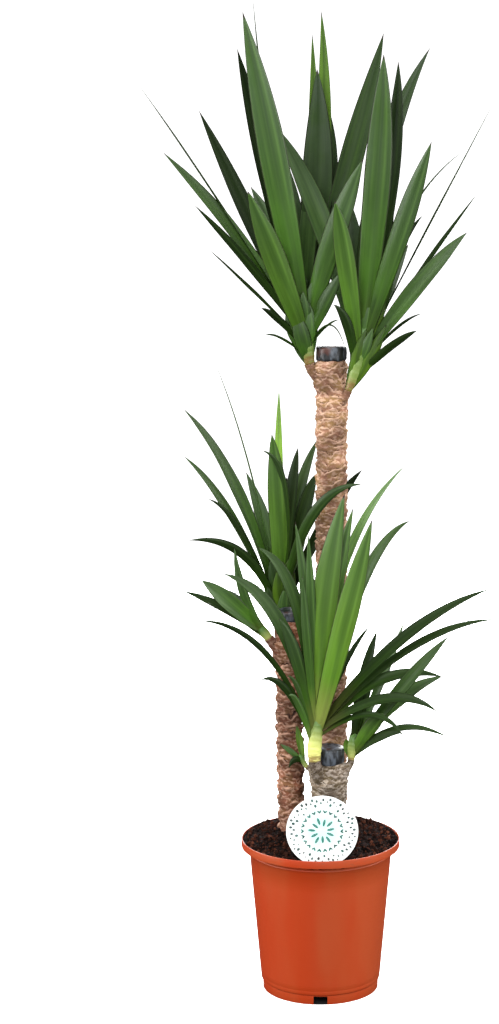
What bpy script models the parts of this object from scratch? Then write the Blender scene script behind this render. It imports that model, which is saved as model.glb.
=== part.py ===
"""A potted yucca: three cut canes in a nursery pot, their leafy heads, wax seals and a plant label.

The origin is the centre of the pot's underside. +Z is up, and -Y is the plant's front.
Sizes are in metres, and those marked MM are millimetres.
"""

import math
import random

import bmesh
import bpy
from mathutils import Matrix, Vector

MM = 0.001
GAP = 0.0003

# Pot
RIM_RADIUS = 0.120
RIM_TOP = 0.235
RIM_BAND = 0.012
BODY_TOP_RADIUS = 0.1085
BODY_FOOT_RADIUS = 0.0905
FOOT_RADIUS = 0.0885
FOOT_HEIGHT = 0.016
POT_WALL = 0.0018
FLOOR_UNDERSIDE = 0.008
FLOOR_TOP = 0.0103
PAD_RADIUS = 0.030
DRAIN_COUNT = 4
DRAIN_WIDTH = 0.021
DRAIN_HEIGHT = 0.0135
POT_SIDES = 40
STEP_TOP = 0.2265
BEAD_TOP = 0.2165
BEAD = 0.0008
FOOT_WALL = 0.0025

# Soil
SOIL_EDGE = 0.2310
SOIL_MOUND = 0.005
SOIL_TILT = 0.0035
SOIL_ROUGHNESS = 0.0016
SOIL_RINGS = 8
CANE_FOOT = 0.105

# Plant label
LABEL_RADIUS = 0.0535
LABEL_THICKNESS = 0.0010
LABEL_CENTRE = (0.0025, -0.090, 0.2725)
LABEL_LEAN = math.radians(4.0)
STAKE_WIDTH = 0.012
STAKE_LENGTH = 0.060
LABEL_SIDES = 36

# The plant is measured as it is seen from here: a place on it is given across and up, in
# millimetres, on the upright plane through the pot's axis, and its depth behind that plane
# moves it along the line of sight.
SIGHT = Vector((0.0, -3.90, 1.47))

# Leaves
LEAF_STEPS = (0.0, 0.13, 0.30, 0.50, 0.69, 0.86)
SHORT_LEAF_STEPS = (0.0, 0.22, 0.50, 0.78)
SHORT_LEAF = 0.10
LEAF_WIDEST = 0.52
LEAF_BASE_SHARE = 0.46
LEAF_THICKNESS = 0.0026
LEAF_CHANNEL = 0.16
STUB_SIDES = 8
GOLDEN = 0.618034

# Canes
SOIL_LINE = 0.2390
BARK_MARGIN = 0.003
RIDGE = 0.0026
RIDGE_WAVE = 0.003
WAX_TOP = 0.003
WAX_LIP = 0.0008


def clear_scene():
    for obj in list(bpy.data.objects):
        bpy.data.objects.remove(obj, do_unlink=True)


def seen(across, up, depth=0.0):
    """The place that is seen `across` and `up` on the plane of the axis, at `depth` behind it, all in mm."""
    on_plane = Vector((across * MM, 0.0, up * MM))
    return SIGHT + (on_plane - SIGHT) * ((depth * MM - SIGHT.y) / -SIGHT.y)


def material(name, colour, roughness, metallic=0.0):
    made = bpy.data.materials.new(name)
    made.use_nodes = True
    shader = made.node_tree.nodes["Principled BSDF"]
    shader.inputs["Base Color"].default_value = (*colour, 1.0)
    shader.inputs["Roughness"].default_value = roughness
    shader.inputs["Metallic"].default_value = metallic
    made.diffuse_color = (*colour, 1.0)
    return made


def new_object(name, mesh_bmesh, look=None, smooth_angle=None):
    bmesh.ops.recalc_face_normals(mesh_bmesh, faces=mesh_bmesh.faces)
    mesh = bpy.data.meshes.new(name)
    mesh_bmesh.to_mesh(mesh)
    mesh_bmesh.free()
    if look:
        mesh.materials.append(look)
    if smooth_angle:
        mesh.shade_smooth()
        mesh.set_sharp_from_angle(angle=math.radians(smooth_angle))
    obj = bpy.data.objects.new(name, mesh)
    bpy.context.scene.collection.objects.link(obj)
    return obj


def spun(profile, sides):
    """A closed body turned from (radius, height) points whose ends are on the axis."""
    bm = bmesh.new()
    verts = [bm.verts.new((r, 0.0, z)) for r, z in profile]
    edges = [bm.edges.new(pair) for pair in zip(verts, verts[1:])]
    bmesh.ops.spin(
        bm, geom=verts + edges, cent=(0, 0, 0), axis=(0, 0, 1), angle=2 * math.pi, steps=sides, use_merge=True
    )
    bmesh.ops.remove_doubles(bm, verts=bm.verts, dist=1e-6)
    return bm


def boolean(target, operation, others, solver="EXACT"):
    """Applies one Boolean of a collection of objects to the target, and removes them."""
    group = bpy.data.collections.new("boolean pieces")
    bpy.context.scene.collection.children.link(group)
    for obj in others:
        bpy.context.scene.collection.objects.unlink(obj)
        group.objects.link(obj)
    modifier = target.modifiers.new("Boolean", "BOOLEAN")
    modifier.operation = operation
    modifier.operand_type = "COLLECTION"
    modifier.collection = group
    modifier.solver = solver
    graph = bpy.context.evaluated_depsgraph_get()
    fused = bpy.data.meshes.new_from_object(target.evaluated_get(graph))
    target.modifiers.clear()
    old = target.data
    looks = list(old.materials)
    target.data = fused
    bpy.data.meshes.remove(old)
    fused.name = target.name
    fused.materials.clear()
    for look in looks:
        fused.materials.append(look)
    for polygon in fused.polygons:
        polygon.material_index = 0
    keep_largest_body(fused)
    for obj in list(group.objects):
        bpy.data.objects.remove(obj, do_unlink=True)
    bpy.data.collections.remove(group)


def keep_largest_body(mesh):
    """Drops loose scraps and fills the hollows that fusing has sealed."""
    bm = bmesh.new()
    bm.from_mesh(mesh)
    unseen = set(bm.faces)
    bodies = []
    while unseen:
        body, edge_of = set(), [unseen.pop()]
        while edge_of:
            face = edge_of.pop()
            body.add(face)
            near = {other for edge in face.edges for other in edge.link_faces} & unseen
            unseen -= near
            edge_of.extend(near)
        bodies.append(body)
    bodies.sort(key=lambda body: sum(face.calc_area() for face in body))
    for body in bodies[:-1]:
        bmesh.ops.delete(bm, geom=list(body), context="FACES")
    bm.to_mesh(mesh)
    bm.free()


def frame_on(heading, side):
    """(side, up) square to the heading, the side kept as near as it can be to the one asked for."""
    side = (side - heading * side.dot(heading)).normalized()
    return side, heading.cross(side)


def loft(rings, start_point=None, end_point=None):
    """A closed body through rings of the same count, each end capped flat or drawn to a point."""
    bm = bmesh.new()
    loops = [[bm.verts.new(p) for p in ring] for ring in rings]
    count = len(loops[0])
    for low, high in zip(loops, loops[1:]):
        for i in range(count):
            j = (i + 1) % count
            bm.faces.new((low[i], low[j], high[j], high[i]))
    for loop, point in ((loops[0], start_point), (loops[-1], end_point)):
        if point is None:
            bm.faces.new(loop)
            continue
        apex = bm.verts.new(point)
        for i in range(count):
            bm.faces.new((loop[i], loop[(i + 1) % count], apex))
    return bm


def curve_at(points, t):
    """(place, heading) on the quadratic curve that starts, passes its middle and ends at the three points."""
    start, middle, end = points
    control = middle * 2 - (start + end) / 2
    place = start * (1 - t) ** 2 + control * (2 * t * (1 - t)) + end * t**2
    heading = (control - start) * (1 - t) + (end - control) * t
    return place, heading.normalized()


def tube(points, radii, sides):
    """Rings of a tube on the curve through three points, with one radius at each even step."""
    rings = []
    for i, radius in enumerate(radii):
        place, heading = curve_at(points, i / (len(radii) - 1))
        side, up = frame_on(heading, Vector((1.0, 0.0, 0.0)))
        rings.append(
            [
                place + (side * math.cos(a) + up * math.sin(a)) * radius
                for a in (2 * math.pi * k / sides for k in range(sides))
            ]
        )
    return rings


class Leaf:
    """One blade as it is seen: its tip and middle (across, up), and how far the tip lies behind its root, in mm.

    `turn` is how far its upper face is turned from the front towards the top, in degrees (below
    zero the underside is seen), `level` the share of the stub's height where it is rooted, and
    `arch` the share of the depth that it has reached at its middle.
    """

    def __init__(self, tip, middle, depth, width, turn=0.0, level=0.6, arch=0.5):
        self.tip, self.middle, self.depth = tip, middle, depth
        self.width, self.turn, self.level, self.arch = width, turn, level, arch

    def points(self, root):
        root_depth = root.y / MM
        return (
            root,
            seen(*self.middle, root_depth + self.depth * self.arch),
            seen(*self.tip, root_depth + self.depth),
        )


def blade_half_width(width, t):
    if t < LEAF_WIDEST:
        share = LEAF_BASE_SHARE + (1 - LEAF_BASE_SHARE) * math.sin(math.pi / 2 * t / LEAF_WIDEST)
    else:
        share = 1 - ((t - LEAF_WIDEST) / (1 - LEAF_WIDEST)) ** 1.8
    return width * MM / 2 * share


def blade_side(points, heading, turn):
    """A blade's width direction: flat to the front, then turned by so many degrees to face up and inwards."""
    flat = heading.cross(points[1] - SIGHT).normalized()
    angle = math.radians(turn if points[2].x < points[0].x else -turn)
    return flat * math.cos(angle) + heading.cross(flat) * math.sin(angle)


def blade(name, points, width, turn=0.0):
    """A leaf as a closed body: a shallow channel in section, widest at its middle, drawn to its tip."""
    steps = SHORT_LEAF_STEPS if (points[2] - points[0]).length < SHORT_LEAF else LEAF_STEPS
    heading = curve_at(points, 0.5)[1]
    facing = 1 if heading.cross(blade_side(points, heading, turn)).z >= 0 else -1
    rings = []
    for t in steps:
        place, heading = curve_at(points, t)
        side = blade_side(points, heading, turn)
        up = heading.cross(side) * facing
        half = blade_half_width(width, t)
        thick = up * (LEAF_THICKNESS * min(1.0, width / 22) * (0.6 - 0.3 * t))
        keel = place - up * (2 * half * LEAF_CHANNEL)
        rings.append([place - side * half, keel - thick, place + side * half, keel + thick])
    return new_object(name, loft(rings, end_point=points[2]))


class Head:
    """A leafy shoot: a short stub that stands on its seat at a cane, and the leaves rooted in it."""

    def __init__(self, name, look, stub, radii, leaves, backs=None):
        self.name, self.look, self.radii = name, look, radii
        self.stub = tuple(seen(*place) for place in stub)
        self.leaves, self.backs = leaves, backs

    def back_blades(self):
        """Leaves of the far side, spread by the golden section: (points, width) of each."""
        rule = self.backs
        draw = random.Random(rule["seed"])
        for i in range(rule["count"]):
            share = (i + 0.5) / rule["count"]
            angle = math.radians(rule["toward"] + rule["spread"] * (2 * (i * GOLDEN % 1.0) - 1))
            rise = math.radians(rule["low"] + (rule["high"] - rule["low"]) * share)
            length = rule["length"] * draw.uniform(0.82, 1.0)
            root = curve_at(self.stub, 0.3 + 0.6 * share)[0]
            out = Vector((math.cos(angle), math.sin(angle), 0.0))
            tip = root + (out * math.cos(rise) + Vector((0, 0, math.sin(rise)))) * length
            middle = (root + tip) / 2 + (Vector((0, 0, 1)) - out) * 0.04 * length
            yield (root, middle, tip), rule["width"] * draw.uniform(0.8, 1.0)

    def build(self):
        foot, heading = curve_at(self.stub, 0.0)
        lifted = (foot + heading * GAP, self.stub[1], self.stub[2])
        end, end_heading = curve_at(lifted, 1.0)
        rings = tube(lifted, self.radii, STUB_SIDES)
        made = new_object(self.name, loft(rings, end_point=end + end_heading * self.radii[-1]), self.look)
        blades = []
        for i, leaf in enumerate(self.leaves):
            root = curve_at(lifted, leaf.level)[0]
            blades.append(blade(f"{self.name} leaf {i}", leaf.points(root), leaf.width, leaf.turn))
        if self.backs:
            for i, (points, width) in enumerate(self.back_blades()):
                blades.append(blade(f"{self.name} back {i}", points, width))
        boolean(made, "UNION", blades)
        return made


class Cane:
    """A cut stem: a plain foot in the soil, bark with leaf-scar ridges above it, and a collar under each shoot."""

    def __init__(self, name, look, centre, radius, top, sides, pitch, neck, lean, bow=(0.0, 0.0)):
        self.name, self.look, self.centre, self.radius = name, look, centre, radius
        self.top, self.sides, self.pitch, self.lean, self.bow = top, sides, pitch, lean, bow
        self.neck_radius, self.neck_height = neck[0] * MM, neck[1] * MM

    def middle_at(self, z):
        """The cane's centre at a height: upright in the soil, then leaning and bowed above it."""
        share = max(0.0, (z - SOIL_LINE) / (self.top - SOIL_LINE))
        arc = math.sin(math.pi * share)
        return Vector(
            (
                self.centre[0] + self.lean[0] * share + self.bow[0] * arc,
                self.centre[1] + self.lean[1] * share + self.bow[1] * arc,
                z,
            )
        )

    def ring(self, z, radius, wave=0.0, phase=0.0):
        middle = self.middle_at(z)
        corners = []
        for k in range(self.sides):
            a = 2 * math.pi * k / self.sides
            lift = wave * math.sin(2 * a + phase) + 0.5 * wave * math.sin(3 * a - 2 * phase)
            corners.append(middle + Vector((math.cos(a) * radius, math.sin(a) * radius, lift)))
        return corners

    def build(self, collars):
        """The cane with a collar up to each shoot's seat: (where it leaves the cane, the stub, its radius)."""
        bark_top = self.top - self.neck_height
        rings = [self.ring(CANE_FOOT, self.radius), self.ring(SOIL_LINE, self.radius)]
        count = max(2, round((bark_top - SOIL_LINE - 2 * BARK_MARGIN) / self.pitch))
        step = (bark_top - SOIL_LINE - 2 * BARK_MARGIN) / count
        for i in range(count):
            low = SOIL_LINE + BARK_MARGIN + i * step
            phase = 2.4 * i
            rings.append(self.ring(low + 0.15 * step, self.radius - RIDGE / 2, RIDGE_WAVE, phase))
            rings.append(self.ring(low + 0.85 * step, self.radius + RIDGE / 2, RIDGE_WAVE, phase + 0.9))
        rings.append(self.ring(bark_top, self.radius - RIDGE / 2))
        rings.append(self.ring(bark_top + 0.0005, self.neck_radius))
        rings.append(self.ring(self.top, self.neck_radius))
        made = new_object(self.name, loft(rings), self.look, 40)
        pieces = []
        for inner, stub, radius in collars:
            seat, heading = curve_at(tuple(seen(*place) for place in stub), 0.0)
            root = seen(*inner)
            middle = (root + seat) / 2 + ((seat - heading * (seat - root).length / 2) - (root + seat) / 2) * 0.4
            rings = tube((root, middle, seat), (radius * 1.25, radius * 1.2, radius * 1.1, radius), STUB_SIDES)
            side, up = frame_on(heading, Vector((1.0, 0.0, 0.0)))
            rings[-1] = [
                seat + (side * math.cos(a) + up * math.sin(a)) * radius
                for a in (2 * math.pi * k / STUB_SIDES for k in range(STUB_SIDES))
            ]
            pieces.append(new_object("collar", loft(rings)))
        if pieces:
            boolean(made, "UNION", pieces)
        return made

    def hole_cutter(self):
        """The plain hole that the foot stands in, a gap larger all round."""
        radius = self.radius + GAP / math.cos(math.pi / self.sides) + 0.00005
        rings = [self.ring(CANE_FOOT - GAP, radius), self.ring(SOIL_LINE + 0.05, radius)]
        for ring in rings:
            for corner in ring:
                corner.x += self.centre[0] - self.middle_at(corner.z).x
                corner.y += self.centre[1] - self.middle_at(corner.z).y
        return new_object(self.name + " hole", loft(rings))


def wax_cap(name, look, cane, radius, sides):
    """Sealing wax over a cut top: a shallow cup upside down, with a soft rim and a thicker lower edge."""
    middle = cane.middle_at(cane.top)
    hollow = (cane.neck_radius + GAP) / math.cos(math.pi / sides)
    low = cane.top - cane.neck_height + 0.0008
    profile = [
        (0.0, cane.top + GAP),
        (hollow, cane.top + GAP),
        (hollow, low),
        (radius, low),
        (radius + WAX_LIP, low + 0.3 * cane.neck_height),
        (radius, cane.top - 0.0005),
        (radius * 0.86, cane.top + WAX_TOP),
        (0.0, cane.top + WAX_TOP * 1.2),
    ]
    bm = spun(profile, sides)
    bmesh.ops.translate(bm, verts=bm.verts, vec=(middle.x, middle.y, 0.0))
    return new_object(name, bm, look, 40)


def body_radius(z):
    share = (z - FOOT_HEIGHT) / (RIM_TOP - RIM_BAND - FOOT_HEIGHT)
    return BODY_FOOT_RADIUS + (BODY_TOP_RADIUS - BODY_FOOT_RADIUS) * share


def make_pot(look):
    band = RIM_TOP - RIM_BAND
    soft = 0.0006
    profile = [
        (0.0, FLOOR_TOP),
        (FOOT_RADIUS - POT_WALL, FLOOR_TOP),
        (FOOT_RADIUS - POT_WALL, FOOT_HEIGHT + 0.001),
        (BODY_TOP_RADIUS - POT_WALL, band - soft),
        (RIM_RADIUS - POT_WALL, STEP_TOP),
        (RIM_RADIUS - POT_WALL, RIM_TOP - soft),
        (RIM_RADIUS - POT_WALL + soft, RIM_TOP),
        (RIM_RADIUS - soft, RIM_TOP),
        (RIM_RADIUS, RIM_TOP - soft),
        (RIM_RADIUS, band + soft),
        (RIM_RADIUS - soft, band),
        (BODY_TOP_RADIUS, band),
        (body_radius(BEAD_TOP), BEAD_TOP),
        (body_radius(BEAD_TOP) + BEAD, BEAD_TOP - BEAD),
        (body_radius(BEAD_TOP) + BEAD, BEAD_TOP - 2.5 * BEAD),
        (body_radius(BEAD_TOP - 4 * BEAD), BEAD_TOP - 4 * BEAD),
        (BODY_FOOT_RADIUS, FOOT_HEIGHT),
        (FOOT_RADIUS, FOOT_HEIGHT - 0.0012),
        (FOOT_RADIUS - 0.0004, soft),
        (FOOT_RADIUS - 0.001, 0.0),
        (FOOT_RADIUS - FOOT_WALL, 0.0),
        (FOOT_RADIUS - FOOT_WALL - 0.0003, FLOOR_UNDERSIDE),
        (PAD_RADIUS + 0.004, FLOOR_UNDERSIDE),
        (PAD_RADIUS, 0.0),
        (0.0, 0.0),
    ]
    pot = new_object("pot", spun(profile, POT_SIDES), look, 30)
    cutters = []
    for i in range(DRAIN_COUNT):
        bm = bmesh.new()
        turn = Matrix.Rotation(-math.pi / 2 + 2 * math.pi * i / DRAIN_COUNT, 4, "Z")
        place = Matrix.Translation((FOOT_RADIUS - 0.004, 0.0, DRAIN_HEIGHT / 2 - 0.001))
        size = Matrix.Diagonal((0.017, DRAIN_WIDTH, DRAIN_HEIGHT + 0.002, 1.0))
        bmesh.ops.create_cube(bm, size=1.0, matrix=turn @ place @ size)
        cutters.append(new_object("drain cutter", bm))
    boolean(pot, "DIFFERENCE", cutters)
    return pot


def make_label(look):
    """A round plant label and its stake, cut from one sheet, leaning back a little."""
    corner = math.asin(STAKE_WIDTH / 2 / LABEL_RADIUS)
    start, end = -math.pi / 2 + corner, 1.5 * math.pi - corner
    outline = [
        (LABEL_RADIUS * math.cos(a), LABEL_RADIUS * math.sin(a))
        for a in (start + (end - start) * i / LABEL_SIDES for i in range(LABEL_SIDES + 1))
    ]
    foot = -LABEL_RADIUS - STAKE_LENGTH
    outline += [(-STAKE_WIDTH / 2, foot + STAKE_WIDTH * 0.7), (0.0, foot), (STAKE_WIDTH / 2, foot + STAKE_WIDTH * 0.7)]
    rings = [[(x, y, z) for x, z in outline] for y in (-LABEL_THICKNESS / 2, LABEL_THICKNESS / 2)]
    label = new_object("plant_label", loft([[Vector(p) for p in ring] for ring in rings]), look)
    label.location = LABEL_CENTRE
    label.rotation_euler = (-LABEL_LEAN, 0.0, 0.0)
    return label


def slot_cutters():
    """The plain slot in the soil for the label's lower edge and its stake."""
    made = []
    for width, low in ((1.72 * LABEL_RADIUS, -LABEL_RADIUS - 0.001), (STAKE_WIDTH, -LABEL_RADIUS - STAKE_LENGTH)):
        bm = bmesh.new()
        size = Matrix.Diagonal((width + 2 * GAP, LABEL_THICKNESS + 2 * GAP, 0.10, 1.0))
        bmesh.ops.create_cube(bm, size=1.0, matrix=Matrix.Translation((0, 0, low - GAP + 0.05)) @ size)
        cutter = new_object("slot cutter", bm)
        cutter.location = LABEL_CENTRE
        cutter.rotation_euler = (-LABEL_LEAN, 0.0, 0.0)
        made.append(cutter)
    return made


def make_soil(look, canes):
    wall = POT_WALL + GAP
    floor = FLOOR_TOP + GAP
    edge = RIM_RADIUS - wall - 0.0004
    profile = [
        (0.0, floor),
        (FOOT_RADIUS - wall - GAP, floor),
        (FOOT_RADIUS - wall - GAP, FOOT_HEIGHT + 0.001),
        (BODY_TOP_RADIUS - wall, RIM_TOP - RIM_BAND - 0.0006),
        (edge, STEP_TOP + 0.0007),
        (edge, SOIL_EDGE),
    ]
    for i in range(1, SOIL_RINGS + 1):
        share = i / SOIL_RINGS
        profile.append((edge * (1 - share), SOIL_EDGE + SOIL_MOUND * math.sin(math.pi / 2 * share)))
    bm = spun(profile, POT_SIDES)
    draw = random.Random(7)
    for vert in bm.verts:
        roughness = SOIL_ROUGHNESS * draw.uniform(-1.0, 1.0) if vert.co.z > SOIL_EDGE + 1e-5 else 0.0
        if vert.co.z > SOIL_EDGE - 1e-5:
            vert.co.z += roughness + SOIL_TILT * vert.co.y / edge
    soil = new_object("soil", bm, look)
    bpy.context.view_layer.update()
    boolean(soil, "DIFFERENCE", [cane.hole_cutter() for cane in canes] + slot_cutters())
    return soil


def tall_left_leaves():
    return [
        Leaf((-112, 1468), (-66, 1250), -110, 41, 0, level=0.9),
        Leaf((-120, 1416), (-76, 1233), 40, 28, 0, level=0.9),
        Leaf((-97, 1489), (-70, 1262), 70, 14, 30, level=1.0),
        Leaf((-12, 1438), (-11, 1240), 190, 18, 0, level=1.0),
        Leaf((1, 1470), (3, 1255), 215, 24, 0, level=1.0),
        Leaf((-5, 1387), (-5, 1215), 150, 47, 0, level=0.95),
        Leaf((12, 1330), (4, 1195), 172, 40, 10, level=0.9),
        Leaf((91, 1438), (40, 1240), 155, 38, 20, level=0.95),
        Leaf((-265, 1368), (-141, 1187), -20, 20, 72, level=0.75),
        Leaf((-176, 1328), (-101, 1170), 90, 28, -25, level=0.8),
        Leaf((-229, 1268), (-122, 1148), -30, 26, 40, level=0.8),
        Leaf((-184, 1192), (-101, 1101), -50, 20, -50, level=0.75),
        Leaf((-106, 1212), (-65, 1108), -120, 35, 0, level=0.6),
        Leaf((-163, 1127), (-96, 1064), -30, 10, -60, level=0.6),
        Leaf((-87, 1041), (-60, 1023), -30, 13, -35, level=0.45),
        Leaf((-82, 1001), (-56, 996), -10, 8, 60, level=0.2),
        Leaf((62, 1258), (19, 1144), -60, 34, 10, level=0.95),
        Leaf((32, 1094), (6, 1048), -40, 22, 20, level=0.65),
        Leaf((38, 974), (14, 1016), -60, 6, 40, level=0.5),
        Leaf((29, 1024), (6, 1012), -45, 6, 50, level=0.45),
        Leaf((-70, 1280), (-48, 1165), 130, 30, 0, level=0.8),
    ]


def tall_right_leaves():
    return [
        Leaf((91, 1408), (82, 1222), -80, 39, 0, level=1.0),
        Leaf((112, 1398), (99, 1220), -30, 28, 0, level=0.95),
        Leaf((158, 1417), (86, 1228), 45, 30, 25, level=0.95),
        Leaf((161, 1283), (116, 1150), -70, 30, 10, level=0.9),
        Leaf((207, 1269), (117, 1158), 30, 16, 72, level=0.85),
        Leaf((149, 1176), (108, 1108), -10, 14, 45, level=0.8),
        Leaf((249, 1337), (158, 1163), 10, 14, 74, level=0.8),
        Leaf((227, 1207), (147, 1097), 30, 18, -70, level=0.75),
        Leaf((214, 1152), (141, 1073), -60, 28, 30, level=0.7),
        Leaf((105, 1079), (93, 1043), -10, 8, 40, level=0.7),
        Leaf((149, 1033), (106, 1007), -10, 10, -62, level=0.5),
        Leaf((142, 1008), (100, 982), -30, 15, -35, level=0.3),
        Leaf((-66, 1306), (2, 1166), 50, 33, 10, level=0.95),
        Leaf((21, 1197), (37, 1106), -90, 29, 0, level=0.85),
        Leaf((19, 1046), (40, 1014), -40, 15, 0, level=0.55),
        Leaf((20, 1084), (42, 1042), 25, 18, 0, level=0.7),
        Leaf((84, 1310), (76, 1180), 120, 34, 0, level=0.95),
        Leaf((100, 1250), (88, 1140), 150, 30, 0, level=0.8),
    ]


def left_low_leaves():
    return [
        Leaf((-178, 634), (-133, 598), -50, 27, 8, level=0.6),
        Leaf((-204, 617), (-142, 590), 5, 16, 30, level=0.5),
        Leaf((-170, 600), (-128, 577), -40, 9, 50, level=0.4),
        Leaf((-128, 684), (-114, 612), -30, 14, level=0.8),
        Leaf((-150, 620), (-120, 596), 70, 20, level=0.5),
    ]


def left_upright_leaves():
    return [
        Leaf((-203, 893), (-123, 771), -50, 24, 45, level=0.5),
        Leaf((-203, 822), (-133, 733), 0, 18, 45, level=0.4),
        Leaf((-168, 757), (-118, 707), -30, 8, level=0.35),
        Leaf((-157, 965), (-105, 806), 10, 10, 50, level=0.6),
        Leaf((-61, 922), (-62, 778), 20, 14, level=0.9),
        Leaf((-72, 855), (-63, 748), -60, 30, level=0.8),
        Leaf((-88, 830), (-52, 765), -70, 10, level=0.7),
        Leaf((-33, 835), (-47, 742), -20, 24, -30, level=0.8),
        Leaf((-3, 848), (-36, 750), 25, 20, -20, level=0.7),
        Leaf((-6, 795), (-28, 728), 15, 22, level=0.6),
        Leaf((62, 801), (8, 725), 50, 18, level=0.5),
        Leaf((62, 779), (-14, 729), -95, 16, level=0.4, arch=0.8),
        Leaf((-198, 694), (-112, 670), -60, 15, -20, level=0.2),
        Leaf((-50, 790), (-55, 705), 90, 28, level=0.7),
        Leaf((-66, 750), (-62, 690), 120, 26, level=0.5),
    ]


def short_front_leaves():
    return [
        Leaf((36, 766), (5, 592), -50, 34, level=0.9),
        Leaf((49, 745), (16, 590), -35, 26, level=0.9),
        Leaf((126, 808), (33, 652), 20, 14, level=0.9),
        Leaf((77, 727), (37, 572), -80, 34, level=0.7),
        Leaf((133, 724), (62, 630), 25, 24, 45, level=0.8),
        Leaf((10, 605), (3, 512), -20, 28, level=0.7),
        Leaf((-38, 724), (-18, 575), -30, 18, level=0.8),
        Leaf((-18, 705), (-13, 570), -50, 16, level=0.9),
        Leaf((-27, 640), (-20, 540), -60, 14, level=0.7),
        Leaf((-95, 684), (-36, 598), -25, 20, 20, level=0.7),
        Leaf((-146, 644), (-60, 567), -20, 24, 25, level=0.6),
        Leaf((-62, 575), (-34, 508), -40, 20, 10, level=0.55),
        Leaf((-187, 572), (-86, 526), -20, 12, -40, level=0.5),
        Leaf((-91, 480), (-50, 464), -10, 12, -20, level=0.4),
        Leaf((-50, 487), (-30, 458), -25, 8, level=0.35),
        Leaf((-48, 456), (-32, 440), -30, 10, level=0.3),
        Leaf((255, 621), (124, 546), -20, 20, 35, level=0.8),
        Leaf((266, 574), (133, 529), 10, 16, 40, level=0.75),
        Leaf((186, 484), (88, 480), 0, 20, 30, level=0.7),
        Leaf((177, 430), (96, 452), -60, 16, 20, level=0.75),
        Leaf((127, 389), (72, 427), -40, 11, 30, level=0.6),
        Leaf((76, 566), (33, 498), 10, 9, level=0.6),
    ]


def short_right_leaves():
    return [
        Leaf((125, 570), (94, 487), 40, 16, 35, level=0.9),
        Leaf((192, 548), (128, 476), -90, 22, 30, level=0.8),
        Leaf((184, 486), (117, 450), 40, 24, 30, level=0.7),
        Leaf((97, 428), (76, 408), -40, 22, level=0.5),
        Leaf((193, 391), (118, 406), -20, 12, 35, level=0.5),
        Leaf((124, 398), (86, 391), -40, 14, 20, level=0.3),
        Leaf((85, 557), (64, 478), 20, 20, 30, level=0.9),
        Leaf((80, 508), (66, 458), 15, 20, -30, level=0.9),
    ]


def short_left_leaves():
    return [
        Leaf((-61, 381), (-44, 369), 2, 9, 20, level=0.8),
        Leaf((-36, 410), (-31, 385), 8, 11, level=0.9),
        Leaf((-48, 343), (-38, 357), -8, 10, -20, level=0.7),
    ]


TALL_LEFT_STUB = ((-18, 960, 22), (-23, 1000, 20), (-24, 1050, 18))
TALL_RIGHT_STUB = ((43, 925, 8), (57, 968, 8), (66, 1032, 10))
LEFT_LOW_STUB = ((-76, 543, 38), (-83, 552, 37), (-91, 562, 36))
LEFT_UPRIGHT_STUB = ((-60, 560, 75), (-60, 600, 72), (-60, 645, 70))
SHORT_FRONT_STUB = ((-9, 353, -66), (-8, 388, -64), (-1, 432, -60))
SHORT_RIGHT_STUB = ((46, 355, -40), (48, 373, -39), (52, 398, -37))
SHORT_LEFT_STUB = ((-19, 344, -35), (-25, 352, -35), (-31, 364, -35))


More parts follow.
